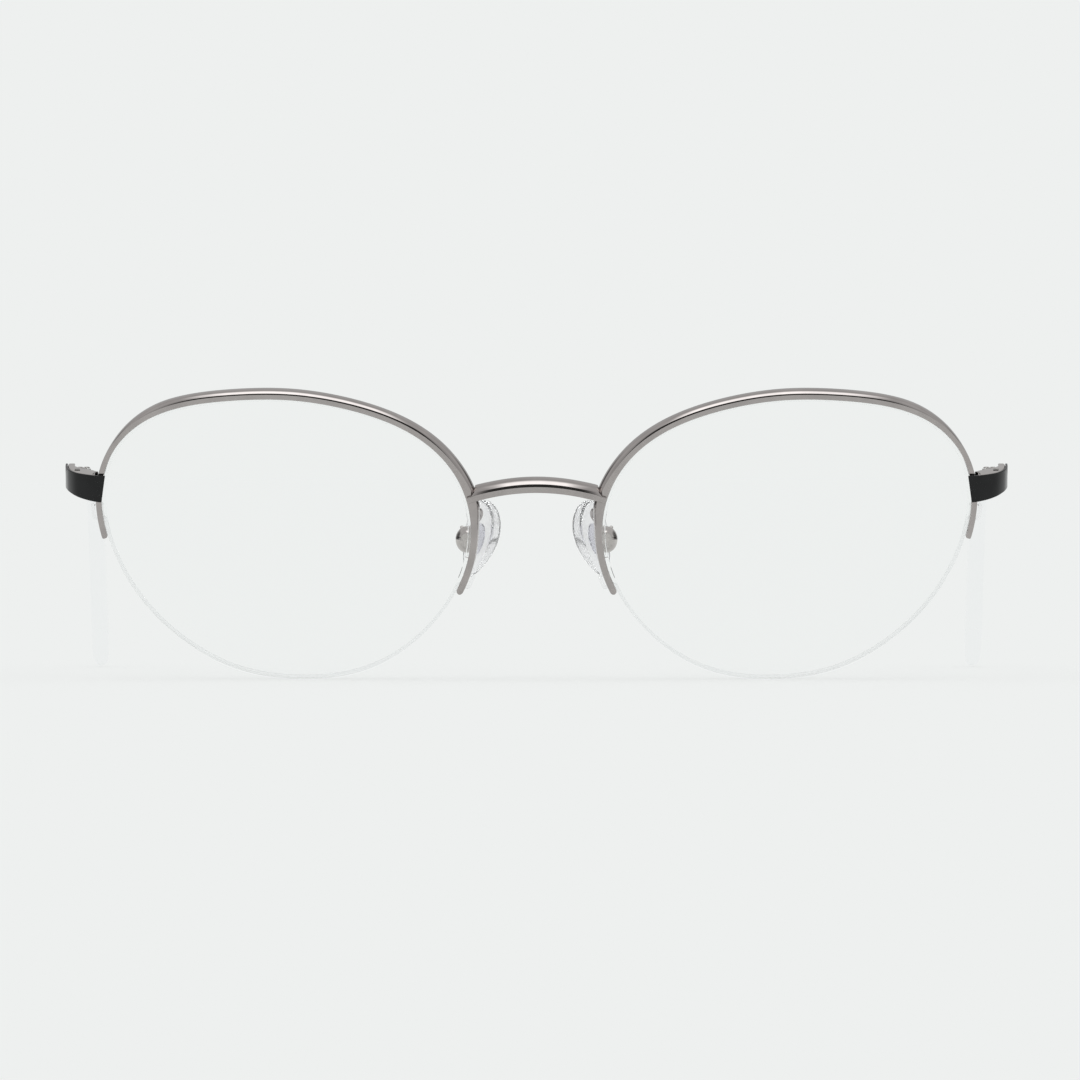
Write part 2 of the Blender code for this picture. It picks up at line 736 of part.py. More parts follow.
def temple_section(side, distance, outside, tall, thick, round_off):
    """An upright section across the temple, with its outer side at the given x."""
    back, up, turn = temple_place(distance)
    corner_up = round_off * tall / 2
    corner_in = round_off * thick / 2
    half = tall / 2
    shape = (
        (corner_in, -half), (0, corner_up - half), (0, half - corner_up), (corner_in, half),
        (thick - corner_in, half), (thick, half - corner_up), (thick, corner_up - half), (thick - corner_in, -half),
    )
    ring = []
    for inward, above in shape:
        place = Vector((
            side * (outside - inward),
            HINGE_BACK + back + above * math.sin(turn),
            HINGE_UP + up + above * math.cos(turn),
        ))
        ring.append(place + FRONT_SHIFT)
    return ring


def temple(name, side, pivot):
    """The metal arm, with the core wire that runs down inside the tip."""
    rings = []
    for distance, tall, thick in TEMPLE_STATIONS:
        rings.append(temple_section(side, distance * MM, SIDE_OUT, tall * MM, thick * MM, TEMPLE_ROUNDING))
    start = TEMPLE_STATIONS[-1][0] * MM
    for distance in (start, *[bend * MM for bend in CORE_BENDS], CORE_END):
        rings.append(temple_section(side, distance, SIDE_OUT - CORE_DEEP, CORE_TALL, CORE_THICK, CORE_ROUNDING))
    return loft(name, rings, LACQUER, pivot)


def temple_tip(name, side, pivot):
    """The acetate ear tip, bored for the temple's core wire."""
    bore_out = SIDE_OUT - CORE_DEEP + (BORE_THICK - CORE_THICK) / 2
    rings = []
    for distance in (BORE_END, *[bend * MM for bend in reversed(CORE_BENDS)], TIP_START):
        rings.append(temple_section(side, distance, bore_out, BORE_TALL, BORE_THICK, CORE_ROUNDING))
    for distance, inset, tall, thick in TIP_STATIONS:
        outside = SIDE_OUT + TIP_PROUD - inset * MM
        rings.append(temple_section(side, distance * MM, outside, tall * MM, thick * MM, TIP_ROUNDING))
    return loft(name, rings, ACETATE, pivot)


def pad_frame(side):
    """The pad's middle, its long direction, its direction towards the box, and its screw's direction."""
    across = PAD_FACE.cross(PAD_LONG)
    screw = PAD_LONG * math.cos(PAD_SCREW_TURN) + across * math.sin(PAD_SCREW_TURN)
    flip = Matrix.Diagonal((side, 1, 1))
    return flip @ PAD_PLACE + FRONT_SHIFT, flip @ PAD_LONG, flip @ -PAD_FACE, flip @ screw


def facing(place, x_axis, z_axis):
    """A placing matrix from two of its directions."""
    turn = Matrix((x_axis, z_axis.cross(x_axis), z_axis)).transposed()
    return Matrix.Translation(place) @ turn.to_4x4()


def nose_pad(name, side, pivot):
    """The soft pad, an egg-shaped cushion with a pocket for its insert."""
    middle, long_way, to_box, _ = pad_frame(side)
    bm = bmesh.new()
    bmesh.ops.create_uvsphere(bm, u_segments=20, v_segments=10, radius=1)
    for vert in bm.verts:
        x, y, z = vert.co
        plump = math.copysign(abs(z) ** 0.8, z)
        vert.co = Vector((x * PAD_HALF_LONG, y * PAD_HALF_WIDE * (1 + PAD_EGG * x), plump * PAD_HALF_THICK))
    bm.transform(facing(middle, long_way, to_box))
    pad = add_piece(name, bm, SILICONE, pivot)
    combine(pad, insert_plate(f"{name}_pocket", side, POCKET_GAP))
    mouth = middle + to_box * 3 * MM
    combine(pad, rod_cutter(f"{name}_mouth", middle + to_box * INSERT_PLATE[1] * 0.8, mouth, POCKET_MOUTH))
    return pad


def insert_plate(name, side, margin):
    """The insert's oval plate as a cutter, grown by a margin."""
    middle, long_way, to_box, _ = pad_frame(side)
    low = INSERT_PLATE[0] - margin
    high = INSERT_PLATE[1] + margin
    stretch = Matrix.Diagonal((INSERT_HALF_LONG + margin, INSERT_HALF_WIDE + margin, high - low, 1))
    bm = bmesh.new()
    bmesh.ops.create_cone(bm, cap_ends=True, segments=16, radius1=1, radius2=1, depth=1, matrix=stretch)
    bm.transform(facing(middle + to_box * (low + high) / 2, long_way, to_box))
    return add_cutter(name, bm)


def pad_insert(name, side, pivot):
    """The hard insert: an oval plate inside the pad, and a tongue with an eye for the pad screw."""
    middle, _, to_box, screw = pad_frame(side)
    outline = [(TONGUE_HALF, INSERT_PLATE[1] * 0.6), (TONGUE_HALF, EYE_BACK)]
    for step in range(1, 8):
        angle = math.pi * step / 8
        outline.append((TONGUE_HALF * math.cos(angle), EYE_BACK + TONGUE_HALF * math.sin(angle)))
    outline += [(-TONGUE_HALF, EYE_BACK), (-TONGUE_HALF, INSERT_PLATE[1] * 0.6)]
    place = facing(middle, to_box.cross(screw), screw)
    piece = flat_plate(name, outline, TONGUE_THICK, place, INSERT, pivot)
    combine(piece, insert_plate(f"{name}_plate", side, 0), "UNION")
    eye = middle + to_box * EYE_BACK
    combine(piece, rod_cutter(f"{name}_eye", eye - screw * 2 * MM, eye + screw * 2 * MM, EYE_HOLE))
    return piece


def pad_box(name, side):
    """The round box that holds the pad's insert, with a hole through it for the pad screw."""
    middle, _, to_box, screw = pad_frame(side)
    profile = (
        (0, BOX_END),
        (0.8 * MM, BOX_END - 0.08 * MM),
        (1.4 * MM, BOX_END - 0.35 * MM),
        (1.8 * MM, BOX_END - 0.85 * MM),
        (BOX_RADIUS, BOX_END - 1.45 * MM),
        (BOX_RADIUS, BOX_MOUTH + 0.15 * MM),
        (BOX_RADIUS - 0.12 * MM, BOX_MOUTH),
        (BOX_SOCKET_RADIUS, BOX_MOUTH),
        (BOX_SOCKET_RADIUS, BOX_SOCKET_END),
        (0, BOX_SOCKET_END),
    )
    piece = turned(name, profile, middle, to_box, POLISHED)
    eye = middle + to_box * EYE_BACK
    combine(piece, rod_cutter(f"{name}_hole", eye - screw * 3 * MM, eye + screw * 3 * MM, EYE_HOLE))
    return piece


def pad_screw(name, side):
    """The screw through the pad's box and insert. Its tip shows past the box."""
    middle, _, to_box, screw = pad_frame(side)
    under = -BOX_RADIUS - 0.07 * MM
    profile = (
        (0, 2.5 * MM),
        (PAD_PIN_RADIUS * 0.7, 2.5 * MM),
        (PAD_PIN_RADIUS, 2.35 * MM),
        (PAD_PIN_RADIUS, under),
        (PAD_PIN_HEAD, under),
        (PAD_PIN_HEAD, under - 0.3 * MM),
        (PAD_PIN_HEAD - 0.12 * MM, under - 0.4 * MM),
        (0, under - 0.4 * MM),
    )
    return turned(name, profile, middle + to_box * EYE_BACK, screw, STEEL, 12)


def pad_arm(name, side):
    """The bent wire from the rim's back to the box's upper side."""
    middle, long_way, to_box, _ = pad_frame(side)
    start = edge_point(side, ARM_ANGLE, rim_face(ARM_ANGLE) / 2, RIM_DEEP - RIM_PROUD + ARM_GAP)
    end = middle + to_box * ARM_END_BACK + long_way * (BOX_RADIUS + 0.06 * MM)
    bends = [Vector((side * x, y, z)) * MM + FRONT_SHIFT for x, y, z in ARM_BENDS]
    return wire(name, smooth_curve([start, *bends, end], 3), ARM_RADIUS, METAL)


def build():
    for label, side in SIDES:
        rim(f"{label}_rim", side)
        lens(f"{label}_lens", side)
        rim_liner(f"{label}_rim_liner", side)
        nylon_cord(f"{label}_nylon_cord", side)
        endpiece(f"{label}_endpiece", side)
        endpiece_facing(f"{label}_endpiece_facing", side)
        hinge_leaf(f"{label}_front_hinge", side, -1, METAL)
        hinge_screw(f"{label}_hinge_screw", side)
        hinge_pivot = add_pivot(f"{label}_temple_pivot", hinge_axis(side))
        hinge_leaf(f"{label}_temple_hinge", side, 1, METAL, hinge_pivot)
        temple(f"{label}_temple", side, hinge_pivot)
        temple_tip(f"{label}_temple_tip", side, hinge_pivot)
        pad_arm(f"{label}_pad_arm", side)
        pad_box(f"{label}_pad_box", side)
        pad_screw(f"{label}_pad_screw", side)
        middle, _, to_box, _ = pad_frame(side)
        pad_pivot = add_pivot(f"{label}_pad_pivot", middle + to_box * EYE_BACK)
        nose_pad(f"{label}_nose_pad", side, pad_pivot)
        pad_insert(f"{label}_pad_insert", side, pad_pivot)
    bridge("bridge")


clear_scene()
PARTS = new_collection(OBJECT)
CUTTERS = new_collection("cutters", hidden=True)
build()
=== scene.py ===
"""Half rim eyeglasses: the finished look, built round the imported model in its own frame."""

import math

import bmesh
import bpy
from mathutils import Matrix, Vector


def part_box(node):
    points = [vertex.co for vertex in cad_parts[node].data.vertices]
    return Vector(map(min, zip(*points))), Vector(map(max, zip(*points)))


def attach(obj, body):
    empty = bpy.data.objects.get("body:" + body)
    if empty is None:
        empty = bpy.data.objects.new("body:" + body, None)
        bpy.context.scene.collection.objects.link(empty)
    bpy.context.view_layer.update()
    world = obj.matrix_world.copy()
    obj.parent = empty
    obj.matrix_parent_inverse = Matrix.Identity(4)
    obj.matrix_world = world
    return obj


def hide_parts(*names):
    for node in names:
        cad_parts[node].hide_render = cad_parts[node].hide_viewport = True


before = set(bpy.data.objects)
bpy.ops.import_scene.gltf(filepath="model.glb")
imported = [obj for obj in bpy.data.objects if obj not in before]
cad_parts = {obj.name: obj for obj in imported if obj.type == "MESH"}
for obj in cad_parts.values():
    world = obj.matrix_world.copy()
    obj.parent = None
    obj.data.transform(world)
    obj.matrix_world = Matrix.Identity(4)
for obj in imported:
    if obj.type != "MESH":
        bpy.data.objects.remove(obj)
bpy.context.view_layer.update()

MM = 0.001
SIDES = (("right", -1), ("left", 1))
BACKDROP = (0.855, 0.871, 0.863)
SOFTBOX = 2.5
DARK_ROOM = 0.08
DARK_BEHIND = 0.25

# The front's lean and wrap, and the lenses' outline, as in the CAD part
TILT = math.radians(14)
WRAP = math.radians(5)
FRONT_SHIFT = Vector((0, -66.75 * MM, 0.168 * MM))
LENS_OUT = 36.4 * MM
LENS_UP = 19.7 * MM
LENS_RADII = (
    26.5, 26.1, 23.55, 21.25, 20.75, 22.1, 25.85, 28.5,
    26.7, 24.0, 22.1, 21.25, 21.05, 22.05, 23.5, 25.1,
)
LENS_CURVE = 130 * MM
LENS_THICK = 2.0 * MM
GROOVE_WIDE = 0.6 * MM
GROOVE_DEEP = 0.5 * MM
LENS_BEVEL = 0.12 * MM
LENS_STEP = 2.0
LENS_SHARES = (0.02, 0.12, 0.25, 0.4, 0.55, 0.7, 0.83, 0.93)
FINE = 1.5
ARC_STEPS = 12

# Rims
RIM_START = -16.5
RIM_END = 180.2
RIM_GAP = 0.06 * MM
RIM_PROUD = 0.25 * MM
RIM_DEEP = 2.5 * MM
RIM_FACE_TOP = 0.76 * MM
RIM_FACE_NOSE = 1.0 * MM
RIM_FACE_TEMPLE = 0.85 * MM
RIM_CROWN = 0.69 * MM
RIM_CROWN_LEG = 0.08 * MM
RIM_BEVEL = 0.05 * MM
CROWN_BEND = 1.05 * MM
CROWN_NORMAL = math.radians(20)
FACE_EDGE = 0.03 * MM
RIM_END_BEYOND = 1.1
NOSE_END_ROUND = 0.5 * MM
TEMPLE_END_ROUND = 0.28 * MM
CHANNEL_WIDE = 0.8 * MM
CHANNEL_BOTTOM = 0.46 * MM
HOLE_RADIUS = 0.31 * MM
NOSE_HOLES = (-11, -15)
TEMPLE_HOLES = (171.5, 175.5)
CORD_RADIUS = 0.26 * MM
CORD_OUT = -0.2 * MM
LOOP_BEND = 0.35 * MM
CORD_TURN = 0.5 * MM

# Bridge
BRIDGE_FACE = 0.8 * MM
BRIDGE_DEEP = 2.75 * MM
BRIDGE_LIP = 0.33 * MM
BRIDGE_UP = 27.35 * MM
BRIDGE_FALL = 19.5
BRIDGE_BACK = 1.72 * MM
BRIDGE_BOW = 12.5
BRIDGE_BEND = 1.6 * MM
BRIDGE_NORMAL = math.radians(14)
BRIDGE_HALF = 10.0 * MM
BRIDGE_THINS = (8.7 * MM, 9.4 * MM)
BRIDGE_STEPS = 32

# Endpieces and hinges
SIDE_OUT = 68.8 * MM
BAND_TOP = 28.45 * MM
BAND_TALL = (4.0 * MM, 3.2 * MM)
BAND_BENDS = (
    (63.1, 7.52), (64.6, 7.85), (66.2, 8.68), (67.35, 9.65), (68.24, 11.2), (68.68, 12.8), (68.8, 13.8),
)
FACING_THICK = 0.33 * MM
ENDPIECE_START = 64.35 * MM
ENDPIECE_THICK = (2.1, 2.5, 2.9, 3.0, 2.6, 1.7, 1.37)
BAND_LEAN = -0.139
BAND_LEAN_UP = 26.5 * MM
SKIN_GAP = 0.04 * MM
SPLIT_GAP = 0.05 * MM
FACING_CORNER = 0.09 * MM
LUG_CORNER = 0.14 * MM
LUG_SHOULDER = 0.3 * MM
HINGE_BACK = 7.85 * MM
HINGE_UP = 29.3 * MM

# Temples and tips
TEMPLE_LONG = 140 * MM
TEMPLE_STRAIGHT = 90 * MM
TEMPLE_BEND = 22 * MM
TEMPLE_DROP = math.radians(39.42)
TEMPLE_SLOPE = 0.0105
TIP_START = 88 * MM
CORE_END = 96 * MM
CORE_TALL = 1.6 * MM
CORE_THICK = 0.9 * MM
CORE_DEEP = 0.1 * MM
CORE_CORNER = 0.35 * MM
TEMPLE_CORNER = 0.22 * MM
TEMPLE_TRIM = 0.06 * MM
TEMPLE_STATIONS = (
    (0, 3.15 * MM, 1.37 * MM),
    (6 * MM, 3.15 * MM, 1.37 * MM),
    (16 * MM, 3.0 * MM, 1.2 * MM),
    (50 * MM, 2.9 * MM, 1.1 * MM),
    (TIP_START, 2.7 * MM, 1.1 * MM),
)
TIP_STATIONS = (
    (TIP_START, 3.3 * MM, 2.35 * MM),
    (95 * MM, 3.4 * MM, 2.4 * MM),
    (107 * MM, 4.2 * MM, 2.4 * MM),
    (120 * MM, 5.8 * MM, 2.5 * MM),
    (130 * MM, 6.4 * MM, 2.5 * MM),
    (TEMPLE_LONG, 6.2 * MM, 2.5 * MM),
)
TIP_PROUD = 0.15 * MM
TIP_MOUTH = 0.5 * MM
TIP_TRIM = 0.25 * MM
TIP_ROUND = 6 * MM
TIP_CORNER = 1.0 * MM

# Nose pads
PAD_PLACE = Vector((8.15 * MM, 7.9 * MM, 20.2 * MM))
PAD_LONG = Vector((-0.284, -0.404, 0.869)).normalized()
PAD_FACE = Vector((-0.819, 0.574, 0)).normalized()
PAD_HALF_LONG = 6.0 * MM
PAD_HALF_WIDE = 3.5 * MM
PAD_HALF_THICK = 1.4 * MM
PAD_EGG = 0.4
PAD_SCREW_TURN = math.radians(70)
BOX_RADIUS = 1.95 * MM
BOX_MOUTH = 1.75 * MM
BOX_END = 4.0 * MM
BOX_DOME = 1.5 * MM
BOX_SOCKET = 1.2 * MM
BOX_DRILL = 3 * MM
EYE_HOLE = 0.38 * MM
PAD_SIDES = 72
PAD_FLAT = 0.77
ARM_RADIUS = 0.45 * MM
ARM_ANGLE = 8
ARM_BENDS = (
    (8.9, 0.95, 24.4), (8.45, 1.9, 24.4), (8.22, 2.9, 24.15),
    (8.3, 4.0, 23.6), (8.75, 4.9, 22.95), (9.25, 5.4, 22.4),
)
ARM_END_BACK = 2.4 * MM
EYE_BACK = 2.35 * MM

# Camera: its distance, the width it takes in, the two heights that its shift comes from, and its x and z
VIEW_AWAY = 2.0
VIEW_WIDE = 156.8 * MM
VIEW_MIDDLE = 20.1 * MM
VIEW_AXIS = 29.2 * MM
VIEW_PLACE = (0.5 * MM, 29.41 * MM)
SENSOR = 36


# ---------------------------------------------------------------- materials


def put(tree, kind, inputs=(), **settings):
    """Adds a node. Inputs are (name or index, value or output socket) pairs."""
    made = tree.nodes.new(kind)
    for name, value in settings.items():
        setattr(made, name, value)
    for key, value in inputs:
        if isinstance(value, bpy.types.NodeSocket):
            tree.links.new(value, made.inputs[key])
        else:
            made.inputs[key].default_value = value
    return made


def maths(tree, operation, *values):
    return put(tree, "ShaderNodeMath", list(enumerate(values)), operation=operation).outputs[0]


def remap(tree, value, low, high, to_low, to_high, smooth=False):
    pairs = (("Value", value), ("From Min", low), ("From Max", high), ("To Min", to_low), ("To Max", to_high))
    kind = "SMOOTHSTEP" if smooth else "LINEAR"
    return put(tree, "ShaderNodeMapRange", pairs, interpolation_type=kind).outputs[0]


def noise(tree, place, size, detail=3.0, stretch=(1, 1, 1)):
    """Noise with features of about the given size, in metres."""
    if stretch != (1, 1, 1):
        place = put(tree, "ShaderNodeMapping", (("Vector", place), ("Scale", stretch))).outputs[0]
    pairs = (("Vector", place), ("Scale", 1 / size), ("Detail", detail), ("Roughness", 0.55))
    return put(tree, "ShaderNodeTexNoise", pairs).outputs[0]


def colour_mix(tree, share, first, second):
    made = put(tree, "ShaderNodeMix", data_type="RGBA")
    tree.links.new(share, made.inputs[0])
    for index, colour in ((6, first), (7, second)):
        if isinstance(colour, bpy.types.NodeSocket):
            tree.links.new(colour, made.inputs[index])
        else:
            made.inputs[index].default_value = (*colour, 1)
    return made.outputs[2]


def start_material(name, **fixed):
    material = bpy.data.materials.new(name)
    material.use_nodes = True
    tree = material.node_tree
    shader = tree.nodes["Principled BSDF"]
    for key, value in fixed.items():
        shader.inputs[key.replace("_", " ")].default_value = value
    place = tree.nodes.new("ShaderNodeTexCoord").outputs["Object"]
    return material, tree, shader, place


def finish_bump(tree, shader, height, strength, distance):
    bump = put(tree, "ShaderNodeBump", (("Strength", strength), ("Distance", distance), ("Height", height)))
    tree.links.new(bump.outputs[0], shader.inputs["Normal"])


def metal(name, colour, rough, grain, wear=0.06):
    """Plated metal: faint tone changes, fine scratches, and lighter edges."""
    material, tree, shader, place = start_material(name, Metallic=1.0)
    tone = noise(tree, place, 3.1 * MM)
    darker = [part * 0.94 for part in colour]
    lighter = [min(1, part * 1.05) for part in colour]
    plain = colour_mix(tree, remap(tree, tone, 0.35, 0.65, 0, 1), darker, lighter)
    edge = put(tree, "ShaderNodeNewGeometry").outputs["Pointiness"]
    edge = remap(tree, edge, 0.53, 0.6, 0, wear)
    tree.links.new(colour_mix(tree, edge, plain, (0.72, 0.69, 0.67)), shader.inputs["Base Color"])
    fine = noise(tree, place, 0.09 * MM, 2)
    scratch = noise(tree, place, 0.05 * MM, 1, (1, 0.06, 0.06))
    scratch = remap(tree, scratch, 0.62, 0.7, 0, 1)
    mixed = maths(tree, "ADD", maths(tree, "MULTIPLY", fine, 0.6), maths(tree, "MULTIPLY", scratch, 0.25))
    uneven = noise(tree, place, 1.3 * MM, 2)
    spread = maths(tree, "ADD", maths(tree, "MULTIPLY", mixed, 0.6), maths(tree, "MULTIPLY", uneven, 0.4))
    tree.links.new(remap(tree, spread, 0.2, 0.8, rough * 0.75, rough * 1.3), shader.inputs["Roughness"])
    finish_bump(tree, shader, mixed, grain, 0.004 * MM)
    return material


def lacquer(name):
    """Black gloss lacquer with a trace of orange peel and worn, slightly matt patches."""
    material, tree, shader, place = start_material(name, IOR=1.33, Coat_Roughness=0.04)
    tone = noise(tree, place, 2.3 * MM)
    share = remap(tree, tone, 0.35, 0.65, 0, 1)
    colour = colour_mix(tree, share, (0.0045, 0.0048, 0.0052), (0.0075, 0.008, 0.0085))
    tree.links.new(colour, shader.inputs["Base Color"])
    rough = remap(tree, noise(tree, place, 0.5 * MM, 4), 0.3, 0.7, 0.05, 0.11)
    tree.links.new(rough, shader.inputs["Roughness"])
    finish_bump(tree, shader, noise(tree, place, 0.7 * MM, 2), 0.12, 0.004 * MM)
    return material


def clear(name, colour, ior, rough, waves, wave_size, spread=0.5, share=1.0):
    """A clear solid with a faint tone change, an uneven finish and shallow surface waves."""
    material, tree, shader, place = start_material(name, IOR=ior, Transmission_Weight=share)
    tone = remap(tree, noise(tree, place, 2.7 * MM, 2), 0.3, 0.7, 0, 1)
    paler = [part + (1 - part) * 0.3 for part in colour]
    tree.links.new(colour_mix(tree, tone, colour, paler), shader.inputs["Base Color"])
    uneven = noise(tree, place, 0.9 * MM, 3)
    finish = remap(tree, uneven, 0.3, 0.7, rough * (1 - spread), rough * (1 + spread))
    tree.links.new(finish, shader.inputs["Roughness"])
    finish_bump(tree, shader, noise(tree, place, wave_size, 2), waves, 0.01 * MM)
    return material


GUNMETAL = (0.392, 0.366, 0.356)
looks = {
    "face": metal("gunmetal_face", GUNMETAL, 0.14, 0.25),
    "polish": metal("gunmetal_polish", GUNMETAL, 0.06, 0.08, 0.0),
    # A lighter copy of the gunmetal: on the pad boxes it is their brighter steel, on the lugs its extra
    # lightness is a painted highlight
    "bright": metal("polished_metal", (0.50, 0.475, 0.46), 0.04, 0.06, 0.0),
    "steel": metal("steel_screw", (0.52, 0.5, 0.485), 0.12, 0.2),
    "lacquer": lacquer("black_lacquer"),
    "lens": clear("clear_lens", (0.99, 0.995, 0.993), 1.1, 0.004, 0.01, 9 * MM),
    "nylon": clear("nylon_cord", (0.985, 0.985, 0.99), 1.1, 0.05, 0.1, 0.6 * MM, share=0.93),
    "liner": clear("nylon_liner", (0.99, 0.99, 0.992), 1.04, 0.02, 0.05, 0.6 * MM),
    "silicone": clear("clear_silicone", (0.975, 0.972, 0.985), 1.25, 0.12, 0.15, 1.2 * MM, share=0.9),
    "tip": clear("clear_acetate", (0.975, 0.98, 0.985), 1.1, 0.03, 0.06, 3 * MM),
    "insert": clear("pad_core", (0.74, 0.74, 0.8), 1.25, 0.25, 0.2, 0.8 * MM),
}


# ---------------------------------------------------------------- mesh helpers


def new_piece(name, bm, body, nodes, finishes, sharp=32):
    """A finished piece from a bmesh in row-frame places, standing for the CAD nodes."""
    bmesh.ops.recalc_face_normals(bm, faces=bm.faces)
    mesh = bpy.data.meshes.new(name)
    bm.to_mesh(mesh)
    bm.free()
    for finish in finishes:
        mesh.materials.append(looks[finish])
    mesh.shade_smooth()
    mesh.set_sharp_from_angle(angle=math.radians(sharp))
    piece = bpy.data.objects.new(name, mesh)
    bpy.context.scene.collection.objects.link(piece)
    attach(piece, body)
    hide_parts(*nodes)
    return piece


def add_loft(bm, rings, finish=None, capped=(True, True), closed=False):
    """A skin through rings of points. finish gives each column's material number."""
    loops = [[bm.verts.new(point) for point in ring] for ring in rings]
    pairs = list(zip(loops, loops[1:]))
    if closed:
        pairs.append((loops[-1], loops[0]))
    for first, second in pairs:
        for index in range(len(first)):
            after = (index + 1) % len(first)
            face = bm.faces.new((first[index], first[after], second[after], second[index]))
            if finish:
                face.material_index = finish[index]
    if not closed:
        for loop, cap in zip((loops[0], loops[-1]), capped):
            if cap:
                bm.faces.new(loop)


def tube_rings(route, radius, sides=16):
    """Rings round a route, turned as little as possible from one to the next."""
    heading = (route[1] - route[0]).normalized()
    across = heading.orthogonal().normalized()
    rings = []
    for index, place in enumerate(route):
        before = route[max(index - 1, 0)]
        after = route[min(index + 1, len(route) - 1)]
        heading = (after - before).normalized()
        across = (across - heading * across.dot(heading)).normalized()
        up = heading.cross(across)
        size = radius(index / (len(route) - 1)) if callable(radius) else radius
        ring = []
        for step in range(sides):
            angle = 2 * math.pi * step / sides
            ring.append(place + (across * math.cos(angle) + up * math.sin(angle)) * size)
        rings.append(ring)
    return rings


def turned_rings(profile, place, direction, steps=48):
    """Rings of a turned shape from (radius, height) points."""
    matrix = Matrix.Translation(place) @ direction.to_track_quat("Z", "X").to_matrix().to_4x4()
    rings = []
    for radius, height in profile:
        ring = []
        for step in range(steps):
            angle = 2 * math.pi * step / steps
            ring.append(matrix @ Vector((radius * math.cos(angle), radius * math.sin(angle), height)))
        rings.append(ring)
    return rings


def smooth_curve(points, steps):
    """Points on a smooth line through the given ones, with steps to each stretch."""
    ends = [2 * points[0] - points[1], *points, 2 * points[-1] - points[-2]]
    line = []
    for before, start, end, after in zip(ends, ends[1:], ends[2:], ends[3:]):
        for step in range(steps):
            t = step / steps
            line.append(
                (2 * start + (end - before) * t + (2 * before - 5 * start + 4 * end - after) * t**2
                 + (3 * start - before - 3 * end + after) * t**3) / 2
            )
    return line + [points[-1]]


drills = []


def cut(piece, start, end, radius):
    """Drills a round hole through a piece."""
    bm = bmesh.new()
    run = end - start
    middle = Matrix.Translation((start + end) / 2) @ run.to_track_quat("Z", "X").to_matrix().to_4x4()
    bmesh.ops.create_cone(
        bm, cap_ends=True, segments=20, radius1=radius, radius2=radius, depth=run.length, matrix=middle
    )
    mesh = bpy.data.meshes.new("drill")
    bm.to_mesh(mesh)
    bm.free()
    drill = bpy.data.objects.new("drill", mesh)
    bpy.context.scene.collection.objects.link(drill)
    drills.append((piece, drill))
    modifier = piece.modifiers.new("hole", "BOOLEAN")
    modifier.operation = "DIFFERENCE"
    modifier.solver = "EXACT"
    modifier.object = drill


def bake_holes():
    """Applies the drilled holes and removes the drills."""
    bpy.context.view_layer.update()
    graph = bpy.context.evaluated_depsgraph_get()
    for piece in {pair[0].name: pair[0] for pair in drills}.values():
        mesh = bpy.data.meshes.new_from_object(piece.evaluated_get(graph))
        piece.modifiers.clear()
        piece.data = mesh
        mesh.set_sharp_from_angle(angle=math.radians(32))
    for _, drill in drills:
        bpy.data.objects.remove(drill)


# ---------------------------------------------------------------- the front's shape


def ease(value, start, end):
    t = min(max((value - start) / (end - start), 0), 1)
    return t * t * (3 - 2 * t)


def tilted(side, x, back, up):
    y = back * math.cos(TILT) - up * math.sin(TILT)
    z = back * math.sin(TILT) + up * math.cos(TILT)
    return Vector((side * x, y, z)) + FRONT_SHIFT


def wrapped(side, out, depth, up):
    x = out * math.cos(WRAP) - depth * math.sin(WRAP)
    back = out * math.sin(WRAP) + depth * math.cos(WRAP)
    return tilted(side, x, back, up)


def lens_radius(angle):
    count = len(LENS_RADII)
    radius = 0
    for index, given in enumerate(LENS_RADII):
        turn = angle - index * 2 * math.pi / count
        slope = math.tan(turn / 2)
        share = math.sin(count * turn / 2) / (count * slope) if abs(slope) > 1e-9 else 1
        radius += given * share * MM
    return radius


def outline(degrees):
    angle = math.radians(degrees)
    radius = lens_radius(angle)
    return Vector((LENS_OUT - radius * math.cos(angle), LENS_UP + radius * math.sin(angle)))


def sag(point):
    return ((point.x - LENS_OUT) ** 2 + (point.y - LENS_UP) ** 2) / (2 * LENS_CURVE)


def edge_point(side, degrees, away, depth):
    edge = outline(degrees)
    run = outline(degrees + 0.01) - outline(degrees - 0.01)
    normal = Vector((-run.y, run.x)).normalized()
    place = edge + normal * away
    return wrapped(side, place.x, sag(edge) + depth, place.y)


def rim_face(degrees):
    width = RIM_FACE_NOSE + (RIM_FACE_TOP - RIM_FACE_NOSE) * ease(degrees, 5, 30)
    return width + (RIM_FACE_TEMPLE - RIM_FACE_TOP) * ease(degrees, 150, 170)


def rim_crown(degrees):
    full = ease(degrees, 2, 13) * (1 - ease(degrees, 132, 156))
    return RIM_CROWN_LEG + (RIM_CROWN - RIM_CROWN_LEG) * full


def angles(start, end, step):
    count = max(1, round(abs(end - start) / step))
    return [start + (end - start) * index / count for index in range(count + 1)]


